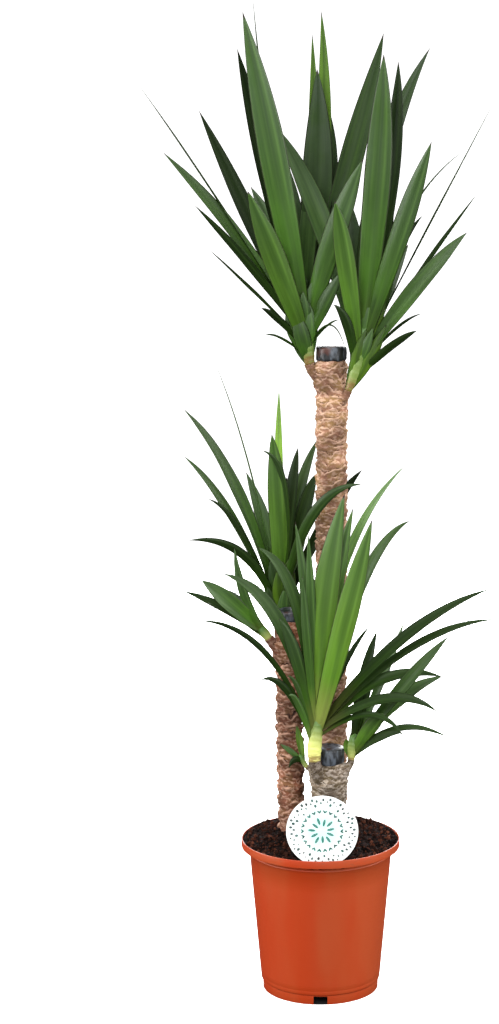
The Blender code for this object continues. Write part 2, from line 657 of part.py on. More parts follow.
def main():
    clear_scene()
    plastic = material("terracotta plastic", (0.55, 0.085, 0.022), 0.45)
    earth = material("soil", (0.022, 0.012, 0.008), 0.95)
    card = material("label plastic", (0.80, 0.82, 0.82), 0.45)
    wax = material("sealing wax", (0.035, 0.042, 0.052), 0.40)
    bark = {
        "tall": material("pale bark", (0.47, 0.28, 0.19), 0.85),
        "left": material("brown bark", (0.30, 0.15, 0.095), 0.85),
        "short": material("grey bark", (0.31, 0.24, 0.18), 0.90),
    }
    green = material("leaf green", (0.055, 0.135, 0.040), 0.42)

    tall = Cane("cane_tall", bark["tall"], (0.0163, 0.030), 0.0236, 0.980, 14, 0.024, (20.5, 22), (0.0, 0.0))
    left = Cane("cane_left", bark["left"], (-0.0440, 0.045), 0.0205, 0.577, 12, 0.022, (18, 16), (-0.0015, 0.0), (-0.0025, 0))
    short = Cane("cane_short", bark["short"], (0.0127, -0.035), 0.0268, 0.3848, 16, 0.018, (20.8, 24.5), (0.0, 0.0))

    make_pot(plastic)
    make_soil(earth, (tall, left, short))
    make_label(card)
    tall.build(
        [((6, 932, 26), TALL_LEFT_STUB, 0.0095), ((27, 898, 20), TALL_RIGHT_STUB, 0.0070)]
    )
    left.build(
        [((-58, 516, 42), LEFT_LOW_STUB, 0.0090), ((-54, 518, 60), LEFT_UPRIGHT_STUB, 0.0090)]
    )
    short.build(
        [
            ((0, 326, -52), SHORT_FRONT_STUB, 0.0090),
            ((31, 336, -38), SHORT_RIGHT_STUB, 0.0070),
            ((-8, 334, -35), SHORT_LEFT_STUB, 0.0035),
        ]
    )
    wax_cap("wax_tall", wax, tall, 0.0222, 24)
    wax_cap("wax_left", wax, left, 0.0195, 20)
    wax_cap("wax_short", wax, short, 0.0224, 24)

    wide = {"count": 6, "toward": 103, "spread": 24, "low": 30, "high": 64, "length": 0.30, "width": 32, "seed": 11}
    heads = [
        Head("head_tall_left", green, TALL_LEFT_STUB, (0.0095, 0.0115, 0.0125, 0.0100), tall_left_leaves(), wide),
        Head(
            "head_tall_right", green, TALL_RIGHT_STUB, (0.0070, 0.0095, 0.0130, 0.0105), tall_right_leaves(),
            {**wide, "toward": 84, "spread": 17, "low": 36, "seed": 12},
        ),
        Head("head_left_low", green, LEFT_LOW_STUB, (0.0090, 0.0095, 0.0080), left_low_leaves()),
        Head(
            "head_left_upright", green, LEFT_UPRIGHT_STUB, (0.0090, 0.0105, 0.0105, 0.0080), left_upright_leaves(),
            {**wide, "count": 5, "toward": 100, "length": 0.24, "width": 26, "seed": 13},
        ),
        Head("head_short_front", green, SHORT_FRONT_STUB, (0.0090, 0.0105, 0.0100, 0.0080), short_front_leaves()),
        Head("head_short_right", green, SHORT_RIGHT_STUB, (0.0070, 0.0085, 0.0085, 0.0070), short_right_leaves()),
        Head("shoot_short_left", green, SHORT_LEFT_STUB, (0.0035, 0.0035, 0.0040, 0.0035), short_left_leaves()),
    ]
    for head in heads:
        head.build()


if __name__ == "__main__":
    main()
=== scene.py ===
"""The finished look of a potted yucca: its leaves, bark, wax seals, soil, pot and plant label.

Lengths are in metres and +Z is up. -Y is the plant's front. A place on the plant is given as it is
seen from the front: across and up in millimetres on the upright plane through the pot's axis.
"""

import logging
import math
import random
from collections.abc import Callable, Sequence
from dataclasses import dataclass
from enum import Enum
from typing import TypeVar

import bmesh
import bpy
from mathutils import Euler, Matrix, Vector, noise


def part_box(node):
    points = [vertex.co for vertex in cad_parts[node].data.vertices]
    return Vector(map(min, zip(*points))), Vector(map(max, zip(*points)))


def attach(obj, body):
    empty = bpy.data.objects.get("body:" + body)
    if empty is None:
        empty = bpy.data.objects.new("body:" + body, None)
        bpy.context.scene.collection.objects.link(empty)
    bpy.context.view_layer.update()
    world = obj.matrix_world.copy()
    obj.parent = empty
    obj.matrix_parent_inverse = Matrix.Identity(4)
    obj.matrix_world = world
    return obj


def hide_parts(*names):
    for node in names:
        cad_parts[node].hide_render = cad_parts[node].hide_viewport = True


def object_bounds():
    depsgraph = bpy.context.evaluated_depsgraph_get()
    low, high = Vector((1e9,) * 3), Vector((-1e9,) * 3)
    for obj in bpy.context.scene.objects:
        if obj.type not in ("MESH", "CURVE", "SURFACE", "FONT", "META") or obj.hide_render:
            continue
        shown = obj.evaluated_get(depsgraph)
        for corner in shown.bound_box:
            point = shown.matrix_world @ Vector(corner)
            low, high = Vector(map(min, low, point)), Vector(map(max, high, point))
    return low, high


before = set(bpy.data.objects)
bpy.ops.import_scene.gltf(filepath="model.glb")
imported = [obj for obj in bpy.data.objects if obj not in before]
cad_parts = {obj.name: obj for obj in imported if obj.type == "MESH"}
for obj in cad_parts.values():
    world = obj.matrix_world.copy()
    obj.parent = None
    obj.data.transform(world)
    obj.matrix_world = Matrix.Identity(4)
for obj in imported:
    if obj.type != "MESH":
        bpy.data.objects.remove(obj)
CAD_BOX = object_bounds()
LOG = logging.getLogger("potted yucca")

MM = 0.001
TURN = 2 * math.pi
GOLDEN_ANGLE = 2.39996
GOLDEN_SHARE = 0.618034
UP = Vector((0.0, 0.0, 1.0))
WELD = 1e-6
GRID_DIGITS = 6
SIGHT = Vector((0.0, -3.90, 1.47))

Traits = tuple[float, float, float, float]
Placed = tuple[Vector, Traits]
Seen = tuple[float, float, float]
Line = tuple[Vector, Vector, Vector]
Step = TypeVar("Step", float, Vector)
PLAIN: Traits = (0.0, 0.0, 0.0, 0.0)


def seen(across: float, up: float, depth: float = 0.0) -> Vector:
    """Find a place on the plant from where it is seen.

    Args:
        across: Millimetres right of the pot's axis, on the upright plane through it.
        up: Millimetres above the ground, on the same plane.
        depth: Millimetres behind that plane, along the line of sight.

    Returns:
        The place in metres.
    """
    on_plane = Vector((across * MM, 0.0, up * MM))
    return SIGHT + (on_plane - SIGHT) * ((depth * MM - SIGHT.y) / -SIGHT.y)


def kept_in(place: Vector) -> Vector:
    """The place, or the nearest one inside the box of the plain solids."""
    return Vector(min(max(c, low), high) for c, low, high in zip(place, *CAD_BOX))


def linear(code: str) -> tuple[float, ...]:
    """Turn a six-figure colour code, as on a paint chart, into linear light."""
    channels = (int(code[i : i + 2], 16) / 255 for i in (0, 2, 4))
    return (*(c / 12.92 if c <= 0.04045 else ((c + 0.055) / 1.055) ** 2.4 for c in channels), 1.0)


def blend_in(value: float, low: float, high: float) -> float:
    """A soft step from 0 at `low` to 1 at `high`."""
    share = min(1.0, max(0.0, (value - low) / (high - low)))
    return share * share * (3 - 2 * share)


def read_along(row: Sequence[Step], share: float) -> Step:
    """Read a row of numbers or places at a share of the way along it."""
    spot = share * (len(row) - 1)
    index = min(int(spot), len(row) - 2)
    return row[index] + (row[index + 1] - row[index]) * (spot - index)


def curve_at(points: Line, t: float) -> tuple[Vector, Vector]:
    """Read the curve that starts, passes its middle and ends at three points.

    Args:
        points: The start, the middle and the end.
        t: How far along, from 0 to 1.

    Returns:
        The place there and the heading.
    """
    start, middle, end = points
    control = middle * 2 - (start + end) / 2
    place = start * (1 - t) ** 2 + control * (2 * t * (1 - t)) + end * t**2
    heading = (control - start) * (1 - t) + (end - control) * t
    return place, heading.normalized()


def spoke(line: Vector, angle: float) -> Vector:
    """The direction square to a line, at an angle round it from the plant's right."""
    side = Vector((1.0, 0.0, 0.0))
    side = (side - line * side.dot(line)).normalized()
    return side * math.cos(angle) + line.cross(side) * math.sin(angle)


def noise_at(place: Vector, across: float, up: float) -> float:
    """A cloudy value from about -1 to 1, with so many lumps in a metre across and up."""
    return noise.noise(Vector((place.x * across, place.y * across, place.z * up)))


class Wire:
    """A value or colour on its way between a material's nodes, with its sums written as arithmetic."""

    def __init__(self, bench: "Bench", socket: bpy.types.NodeSocket) -> None:
        """Hold the socket that gives the value."""
        self.bench = bench
        self.socket = socket

    def __add__(self, other: object) -> "Wire":
        """The sum with a number or another wire."""
        return self.bench.math("ADD", self, other)

    def __sub__(self, other: object) -> "Wire":
        """The difference from a number or another wire."""
        return self.bench.math("SUBTRACT", self, other)

    def __rsub__(self, other: float) -> "Wire":
        """What is left of a number when the value is taken away."""
        return self.bench.math("SUBTRACT", other, self)

    def __mul__(self, other: object) -> "Wire":
        """The product with a number or another wire."""
        return self.bench.math("MULTIPLY", self, other)

    def span(self, low: float, high: float) -> "Wire":
        """The value's share of the way from `low` to `high`, softly held between 0 and 1."""
        made = self.bench.node("MapRange", Value=self, From_Min=low, From_Max=high)
        made.interpolation_type = "SMOOTHSTEP"
        return Wire(self.bench, made.outputs["Result"])

    def between(self, low: float, high: float) -> "Wire":
        """A value that runs from `low` to `high` as this one runs from 0 to 1."""
        return self.bench.wire("Result", "MapRange", Value=self, To_Min=low, To_Max=high)

    def painted(self, colour: object, share: object) -> "Wire":
        """The colour with another laid over it, by a share from 0 to 1."""
        return self.bench.mix(share, self, colour)

    def lit(self, factor: object) -> "Wire":
        """The colour made darker or lighter by a factor."""
        return self.bench.wire("Vector", "VectorMath", "SCALE", Vector=self, Scale=factor)


class Bench:
    """Lays out the nodes of one procedural material. A colour is a wire or a six-figure code."""

    MIX_INPUTS = (0, 6, 7)
    MIX_OUTPUT = 2

    def __init__(self, name: str) -> None:
        """Start a material with only its shader and its output."""
        self.material = bpy.data.materials.new(name)
        self.material.use_nodes = True
        self.tree = self.material.node_tree
        self.shader = self.tree.nodes["Principled BSDF"]

    def feed(self, sockets: bpy.types.NodeInputs, **inputs: object) -> None:
        """Fill the inputs named, with underscores for spaces, each by a value or by what feeds it."""
        for name, value in inputs.items():
            self.fill(sockets[name.replace("_", " ")], value)

    def fill(self, socket: bpy.types.NodeSocket, value: object) -> None:
        """Link a socket to a wire, or set its value."""
        if isinstance(value, Wire):
            self.tree.links.new(value.socket, socket)
        else:
            socket.default_value = linear(value) if isinstance(value, str) else value

    def node(self, kind: str, operation: str = "", **inputs: object) -> bpy.types.Node:
        """Add a node and fill the inputs named.

        Args:
            kind: Blender's name of the node type, without ShaderNode.
            operation: Which sum it does, where it does sums.
            **inputs: Input names, with underscores for spaces.

        Returns:
            The node.
        """
        made = self.tree.nodes.new("ShaderNode" + kind)
        if operation:
            made.operation = operation
        self.feed(made.inputs, **inputs)
        return made

    def wire(self, output: str, kind: str, operation: str = "", **inputs: object) -> Wire:
        """Add a node and take the output named."""
        return Wire(self, self.node(kind, operation, **inputs).outputs[output])

    def math(self, operation: str, first: object, second: object = 0.0) -> Wire:
        """One sum on two numbers."""
        made = self.node("Math", operation)
        self.fill(made.inputs[0], first)
        self.fill(made.inputs[1], second)
        return Wire(self, made.outputs[0])

    def mix(self, share: object, first: object, second: object) -> Wire:
        """The second colour over the first, by a share from 0 to 1."""
        made = self.node("Mix")
        made.data_type = "RGBA"
        for place, value in zip(self.MIX_INPUTS, (share, first, second)):
            self.fill(made.inputs[place], value)
        return Wire(self, made.outputs[self.MIX_OUTPUT])

    def mapped(self, source: str = "Object", **change: object) -> Wire:
        """The object's own coordinates, or the skin's UV map, moved or scaled."""
        return self.wire("Vector", "Mapping", Vector=self.wire(source, "TexCoord"), **change)

    def noise(self, scale: float, detail: float, source: str = "Object", **change: object) -> Wire:
        """A cloudy pattern from 0 to 1 on mapped coordinates."""
        return self.wire("Fac", "TexNoise", Vector=self.mapped(source, **change), Scale=scale, Detail=detail)

    def distance(self, **change: object) -> Wire:
        """How far a place is from the origin, or from where a mapping moves it."""
        return self.wire("Value", "VectorMath", "LENGTH", Vector=self.mapped(**change))

    def split(self, vector: Wire) -> list[Wire]:
        """The three parts of a vector."""
        return [Wire(self, part) for part in self.node("SeparateXYZ", Vector=vector).outputs]

    def traits(self) -> list[Wire]:
        """The four numbers that the mesh holds for each point."""
        first, last = self.node("Attribute"), self.node("Attribute")
        first.attribute_name, last.attribute_name = Skin.TRAIT, Skin.LAST_TRAIT
        return [*self.split(Wire(self, first.outputs["Vector"])), Wire(self, last.outputs["Fac"])]

    def finish(
        self,
        colour: Wire,
        roughness: object,
        sheen: object = 0.5,
        relief: Wire | None = None,
        depth: float = 0.0,
        strength: float = 1.0,
    ) -> bpy.types.Material:
        """Feed the shader and end the material.

        Args:
            colour: The base colour.
            roughness: The roughness.
            sheen: How much light it mirrors when it faces the eye.
            relief: A pattern that raises the surface.
            depth: How far it raises it, in metres.
            strength: How strongly that shows.

        Returns:
            The material.
        """
        self.feed(self.shader.inputs, Base_Color=colour, Roughness=roughness, Specular_IOR_Level=sheen)
        if relief:
            raised = self.wire("Normal", "Bump", Height=relief, Distance=depth, Strength=strength)
            self.feed(self.shader.inputs, Normal=raised)
        return self.material


class Skin:
    """One piece's mesh while it is modelled: closed skins bent from grids, with four traits at each point."""

    TRAIT = "trait"
    LAST_TRAIT = "last_trait"

    def __init__(self) -> None:
        """Start an empty mesh with its UV map and its two trait layers."""
        self.bm = bmesh.new()
        self.uv = self.bm.loops.layers.uv.new("skin")
        self.trait = self.bm.verts.layers.float_vector.new(self.TRAIT)
        self.last_trait = self.bm.verts.layers.float.new(self.LAST_TRAIT)

    def wrap(self, around: int, along: int, place: Callable[[float, float], Placed], slot: int = 0) -> None:
        """Bend a grid to a closed skin.

        Args:
            around: Faces across the grid.
            along: Faces along it.
            place: Gives the place and the traits at (across, along), each from 0 to 1. Points that
                it puts together are merged, which closes a seam or an end.
            slot: The material slot of its faces.
        """
        made = bmesh.ops.create_grid(self.bm, x_segments=around, y_segments=along, size=1.0)["verts"]
        for face in {face for vert in made for face in vert.link_faces}:
            face.material_index = slot
            face.smooth = True
            for loop in face.loops:
                loop[self.uv].uv = ((loop.vert.co.x + 1) / 2, (loop.vert.co.y + 1) / 2)
        for vert in made:
            shares = (round((c + 1) / 2, GRID_DIGITS) for c in vert.co.xy)
            spot, traits = place(*shares)
            vert.co = kept_in(spot)
            vert[self.trait], vert[self.last_trait] = Vector(traits[:3]), traits[3]
        bmesh.ops.remove_doubles(self.bm, verts=made, dist=WELD)

    def piece(self, name: str, looks: list[bpy.types.Material]) -> bpy.types.Object:
        """End the mesh and make its object, with every face pointing out."""
        bmesh.ops.recalc_face_normals(self.bm, faces=self.bm.faces)
        return placed(name, self.bm, looks)


def turned(outline: list[tuple[float, float]], steps: int) -> bmesh.types.BMesh:
    """Turn an outline round the upright axis.

    Args:
        outline: Its points, each a radius and a height.
        steps: Faces round the axis.

    Returns:
        The mesh, with its faces pointing one way.
    """
    bm = bmesh.new()
    verts = [bm.verts.new((radius, 0.0, z)) for radius, z in outline]
    geom = verts + [bm.edges.new(pair) for pair in zip(verts, verts[1:])]
    bmesh.ops.spin(bm, geom=geom, cent=(0, 0, 0), axis=UP, angle=TURN, steps=steps, use_merge=True)
    bmesh.ops.remove_doubles(bm, verts=bm.verts, dist=WELD)
    bmesh.ops.recalc_face_normals(bm, faces=bm.faces)
    return bm


def placed(name: str, bm: bmesh.types.BMesh, looks: list[bpy.types.Material]) -> bpy.types.Object:
    """End a mesh and put it in the scene as an object at the origin, with its materials."""
    mesh = bpy.data.meshes.new(name)
    bm.to_mesh(mesh)
    bm.free()
    for look in looks:
        mesh.materials.append(look)
    made = bpy.data.objects.new(name, mesh)
    bpy.context.scene.collection.objects.link(made)
    return made


def stands_for(piece: bpy.types.Object, slot: str, *nodes: str) -> None:
    """Let a piece ride on the plant and stand for its plain solids."""
    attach(piece, "root")
    if nodes:
        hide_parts(*nodes)
    LOG.info("%s: %d faces", piece.name, len(piece.data.polygons))


class GrowthAndShade(Enum):
    """How a leaf has grown and how it is lit: its youth, its blue-grey bloom and its painted light, a factor
    on its colour that paints shade below 1 and extra light above 1.
    """

    # Painted light: the third number darkens dim, inner, dusky, dark and shaded leaves as painted shade, and
    # lightens fresh and tender ones.
    MATURE = (0.0, 0.4, 0.93)
    FRESH = (0.12, 0.25, 1.12)
    YOUNG = (0.24, 0.25, 1.02)
    TENDER = (0.8, 0.0, 1.35)
    OLIVE = (0.5, 0.0, 0.5)
    DIM = (0.0, 0.4, 0.56)
    INNER = (0.0, 0.5, 0.44)
    DUSKY = (0.0, 0.8, 0.36)
    DARK = (0.0, 0.3, 0.26)
    SHADED = (0.0, 0.1, 0.1)


MATURE, FRESH, YOUNG, TENDER, OLIVE, DIM, INNER, DUSKY, DARK, SHADED = GrowthAndShade


@dataclass(frozen=True)
class LeafFinish:
    """Satin sword leaves: fine streaks along them, a pale foot and a dry brown tip, with a dark margin that
    is partly painted shade, and painted shade on the underside.
    """

    deep: str = "2b4718"
    fresh: str = "527530"
    warm: str = "4d7d1b"
    lime: str = "80ad28"
    # Blue-grey bloom, which also stands for the grey sheen on the upper leaf: partly painted sheen.
    bloom_and_sheen: str = "5f6e5c"
    pale: str = "d3d873"
    # Dry brown for the tip and the margin; on the margin it is partly painted shade.
    dry_and_shade: str = "1f140d"
    warmth: float = 0.75
    ripening: float = 0.6
    band: float = 0.6
    # The margin's dark colour: partly its dry brown edge, partly painted shade along the leaf's edges.
    edge: float = 0.6
    # The underside's colour is darkened by this factor, as painted shade.
    under: float = 0.8
    pale_reach: float = 0.15
    sheen: float = 0.33

    def make(self) -> bpy.types.Material:
        """Make the leaf's material. Its traits are youth, a blue-grey bloom that also paints sheen, the
        painted light that darkens shaded leaves, and how pale the foot is.
        """
        bench = Bench("yucca leaf")
        across, along, _ = bench.split(bench.wire("UV", "TexCoord"))
        youth, bloom_and_sheen, light, paleness = bench.traits()
        streaks = bench.noise(1.0, 4.0, "UV", Scale=(15.0, 1.1, 1.0))
        bands = bench.noise(1.0, 2.0, "UV", Scale=(4.5, 0.8, 1.0))
        clouds = bench.noise(26.0, 3.0, Scale=(1.0, 1.0, 0.5))
        green = bench.mix(streaks.span(0.25, 0.75), self.deep, self.fresh)
        lower = (1.0 - along.span(0.12, 0.6)) * clouds.span(0.25, 0.7)
        green = green.painted(self.warm, lower * self.warmth)
        green = green.painted(self.lime, youth * (1.0 - along.span(0.45, 0.95) * self.ripening))
        # Grey-green over the upper leaf: blue-grey bloom and painted sheen.
        green = green.painted(self.bloom_and_sheen, along.span(0.3, 0.9) * bloom_and_sheen * clouds.span(0.1, 0.6))
        green = green.painted(self.deep, bands.span(0.46, 0.62) * self.band)
        foot = 1.0 - (along - paleness * self.pale_reach).span(-0.05, 0.2)
        green = green.painted(self.pale, foot * paleness)
        # A dark margin: partly the dry brown edge, partly painted shade along the edge.
        margin_and_shade_mask = bench.math("ABSOLUTE", bench.math("COSINE", across * TURN))
        green = green.painted(self.dry_and_shade, margin_and_shade_mask.span(0.9, 0.99) * self.edge)
        # Painted shade: the underside is darker, and the painted light trait darkens the whole leaf where it
        # lies in shade.
        underside = bench.math("GREATER_THAN", across, 0.5)
        green = green.lit(1.0 - underside * (1.0 - self.under)).lit(light)
        green = green.painted(self.dry_and_shade, along.span(0.965, 0.985))
        # The painted light also dims the mirrored sheen of shaded leaves.
        return bench.finish(green, clouds.between(0.34, 0.52), light * self.sheen, streaks, 0.0006, 0.4)


@dataclass(frozen=True)
class StemFinish:
    """The shoot's fleshy stem: bands of old leaf feet, pale and husked where it left the bark."""

    pale: str = "d8da7a"
    green: str = "3c611f"
    line: str = "7c7a2e"
    husk: str = "6d4a26"

    def make(self) -> bpy.types.Material:
        """Make the stem's material. The first trait is how pale the stem is."""
        bench = Bench("young stem")
        _, along, _ = bench.split(bench.wire("UV", "TexCoord"))
        paleness = bench.traits()[0]
        wavy = bench.noise(1.0, 2.0, "UV", Scale=(5.0, 34.0, 1.0))
        skin = bench.mix((1.0 - along.span(0.1, 0.9)) * paleness, self.green, self.pale)
        skin = skin.painted(self.line, wavy.span(0.5, 0.75) * 0.25)
        skin = skin.painted(self.husk, (1.0 - along.span(0.12, 0.28)) * wavy.span(0.3, 0.5) * 0.8)
        return bench.finish(skin, 0.5, relief=wavy, depth=0.001, strength=0.6)


@dataclass(frozen=True)
class BarkFinish:
    """Ringed bark: plates, warm patches, dusty grain, pale lips that are a painted highlight, and dark cracks
    that are partly painted shade under each lip.
    """

    name: str
    plate: str
    pale: str
    warm: str
    crack_and_shade: str
    dust: float = 0.65
    lip_highlight: float = 0.8
    tint_depth: float = 0.6
    speckle: float = 1.3

    def make(self) -> bpy.types.Material:
        """Make the bark's material. Its traits are the relief, low in the cracks whose dark colour is partly
        painted shade, the lip's painted highlight and the patch's tint.
        """
        bench = Bench(self.name)
        relief, lip, tint, _ = bench.traits()
        grain = bench.noise(150.0, 5.0, Scale=(1.0, 1.0, 1.6))
        blotches = bench.noise(62.0, 3.0, Scale=(1.0, 1.0, 1.3))
        specks = bench.noise(480.0, 3.0, Scale=(1.0, 1.0, 1.6))
        plate = bench.mix(blotches.span(0.38, 0.62), self.plate, self.warm)
        plate = plate.painted(self.pale, grain.span(0.46, 0.64) * self.dust)
        # Painted highlight: the lip is painted pale.
        plate = plate.painted(self.pale, lip * self.lip_highlight)
        plate = plate.painted(self.crack_and_shade, tint * (1.0 - lip * 0.5) * self.tint_depth)
        # Darker towards the crack colour where the relief trait is low: dark crack and painted shade under
        # each lip, broken by specks.
        worn = relief + (specks - 0.5) * self.speckle
        return bench.finish(
            bench.mix(worn.span(0.0, 0.7), self.crack_and_shade, plate), 0.86, 0.2, specks, depth=0.0012, strength=0.8
        )


@dataclass(frozen=True)
class WaxFinish:
    """Sealing wax, dark blue-grey, with brown smears and a soft sheen."""

    dark: str = "090b0d"
    light: str = "444a52"
    smear: str = "4b2418"

    def make(self) -> bpy.types.Material:
        """Make the wax's material."""
        bench = Bench("sealing wax")
        streaks = bench.noise(150.0, 4.0, Scale=(1.0, 1.0, 0.35))
        smears = bench.noise(42.0, 2.0, Scale=(1.0, 1.0, 0.8))
        wax = bench.mix(streaks.span(0.44, 0.62), self.dark, self.light)
        wax = wax.painted(self.smear, smears.span(0.56, 0.7) * 0.7)
        return bench.finish(wax, 0.42, relief=streaks, depth=0.0008, strength=0.6)


@dataclass(frozen=True)
class PotFinish:
    """Thin injection-moulded plastic: faint flow marks, fine scuffs, a dusty rim."""

    body: str = "9b310c"
    flow: str = "9a3d1a"
    dust: str = "6e3d24"
    dusty_from: float = 0.20
    dusty_to: float = 0.236

    def make(self) -> bpy.types.Material:
        """Make the pot's material."""
        bench = Bench("terracotta plastic")
        flow = bench.noise(16.0, 2.0, Scale=(1.0, 1.0, 0.18))
        scuffs = bench.noise(70.0, 5.0, Scale=(1.0, 1.0, 5.0))
        height = bench.split(bench.wire("Object", "TexCoord"))[2]
        skin = bench.mix(flow.span(0.35, 0.65), self.body, self.flow)
        dusty = scuffs.span(0.58, 0.75) * height.span(self.dusty_from, self.dusty_to)
        skin = skin.painted(self.dust, dusty * 0.7)
        return bench.finish(skin, scuffs.between(0.40, 0.56), 0.35, scuffs, depth=0.0002, strength=0.5)


@dataclass(frozen=True)
class SoilFinish:
    """Dark potting soil with reddish fibres."""

    dark: str = "060403"
    brown: str = "22120e"
    red: str = "391610"

    def make(self) -> bpy.types.Material:
        """Make the soil's material."""
        bench = Bench("potting soil")
        grains = bench.noise(210.0, 6.0)
        fibres = bench.noise(90.0, 3.0, Scale=(1.0, 2.0, 1.0))
        earth = bench.mix(grains.span(0.42, 0.66), self.dark, self.brown)
        earth = earth.painted(self.red, fibres.span(0.56, 0.7) * 0.8)
        return bench.finish(earth, 0.95, 0.05, grains, depth=0.003)


@dataclass(frozen=True)
class ChipFinish:
    """Bark chips, peat clods and grit on the soil, each with a tint of its own."""

    dark: str = "0a0605"
    light: str = "502c1f"

    def make(self) -> bpy.types.Material:
        """Make the chips' material. The first trait is the tint."""
        bench = Bench("bark chips")
        grain = bench.noise(400.0, 3.0)
        chip = bench.mix(bench.traits()[0], self.dark, self.light)
        chip = chip.painted(self.dark, grain.span(0.5, 0.7) * 0.5)
        return bench.finish(chip, 0.92, 0.06, grain, depth=0.0008, strength=0.8)


@dataclass(frozen=True)
class LabelFinish:
    """White satin label plastic with a faint aqua wash in its middle."""

    centre: tuple[float, float, float]
    white: str = "e9eeed"
    wash: str = "b9e8df"
    wash_from: float = 0.014
    wash_to: float = 0.052

    def make(self) -> bpy.types.Material:
        """Make the label's material."""
        bench = Bench("label plastic")
        to_centre = -Vector(self.centre)
        clouds = bench.noise(60.0, 2.0, Location=to_centre)
        near = 1.0 - bench.distance(Location=to_centre).span(self.wash_from, self.wash_to)
        card = bench.mix(near * clouds.span(0.25, 0.5), self.white, self.wash)
        return bench.finish(card, 0.45, relief=clouds, depth=0.0001, strength=0.3)


@dataclass(frozen=True)
class InkFinish:
    """Printing ink whose tone the first trait picks, from grey to teal."""

    grey: str = "151d20"
    teal: str = "17685d"
    bare: str = "e2efec"

    def make(self) -> bpy.types.Material:
        """Make the ink's material."""
        bench = Bench("label ink")
        worn = bench.noise(900.0, 2.0)
        ink = bench.mix(bench.traits()[0], self.grey, self.teal)
        return bench.finish(ink.painted(self.bare, worn.span(0.5, 0.8) * 0.4), 0.5)


@dataclass(frozen=True)
class Blade:
    """One leaf as it is seen: its tip and middle, across and up in millimetres.

    `depth` is how far the tip lies behind the root in millimetres, and `width` the greatest width.
    `level` is the share of the stem's height where it is rooted. `turn` is how far the upper face
    is turned from the front towards the top in degrees, below zero where the underside is seen.
    `arch` is the share of the depth that it has reached at its middle. `growth_and_shade` is how it has grown
    and its painted light, which paints shade on leaves that lie in shade.
    """

    tip: tuple[float, float]
    middle: tuple[float, float]
    depth: float
    width: float
    level: float
    turn: float = 0.0
    growth_and_shade: GrowthAndShade = MATURE
    arch: float = 0.5

    def points(self, root: Vector) -> Line:
        """The root, the middle and the tip in metres."""
        deep = root.y / MM
        middle = seen(*self.middle, deep + self.depth * self.arch)
        return root, middle, seen(*self.tip, deep + self.depth)


@dataclass(frozen=True)
class FarLeaves:
    """The rule that places a head's leaves on its far side. Angles are in degrees, lengths as named."""

    count: int = 6
    toward: float = 103.0
    spread: float = 24.0
    low: float = 30.0
    high: float = 64.0
    length: float = 0.30
    width_mm: float = 32.0
    seed: int = 11


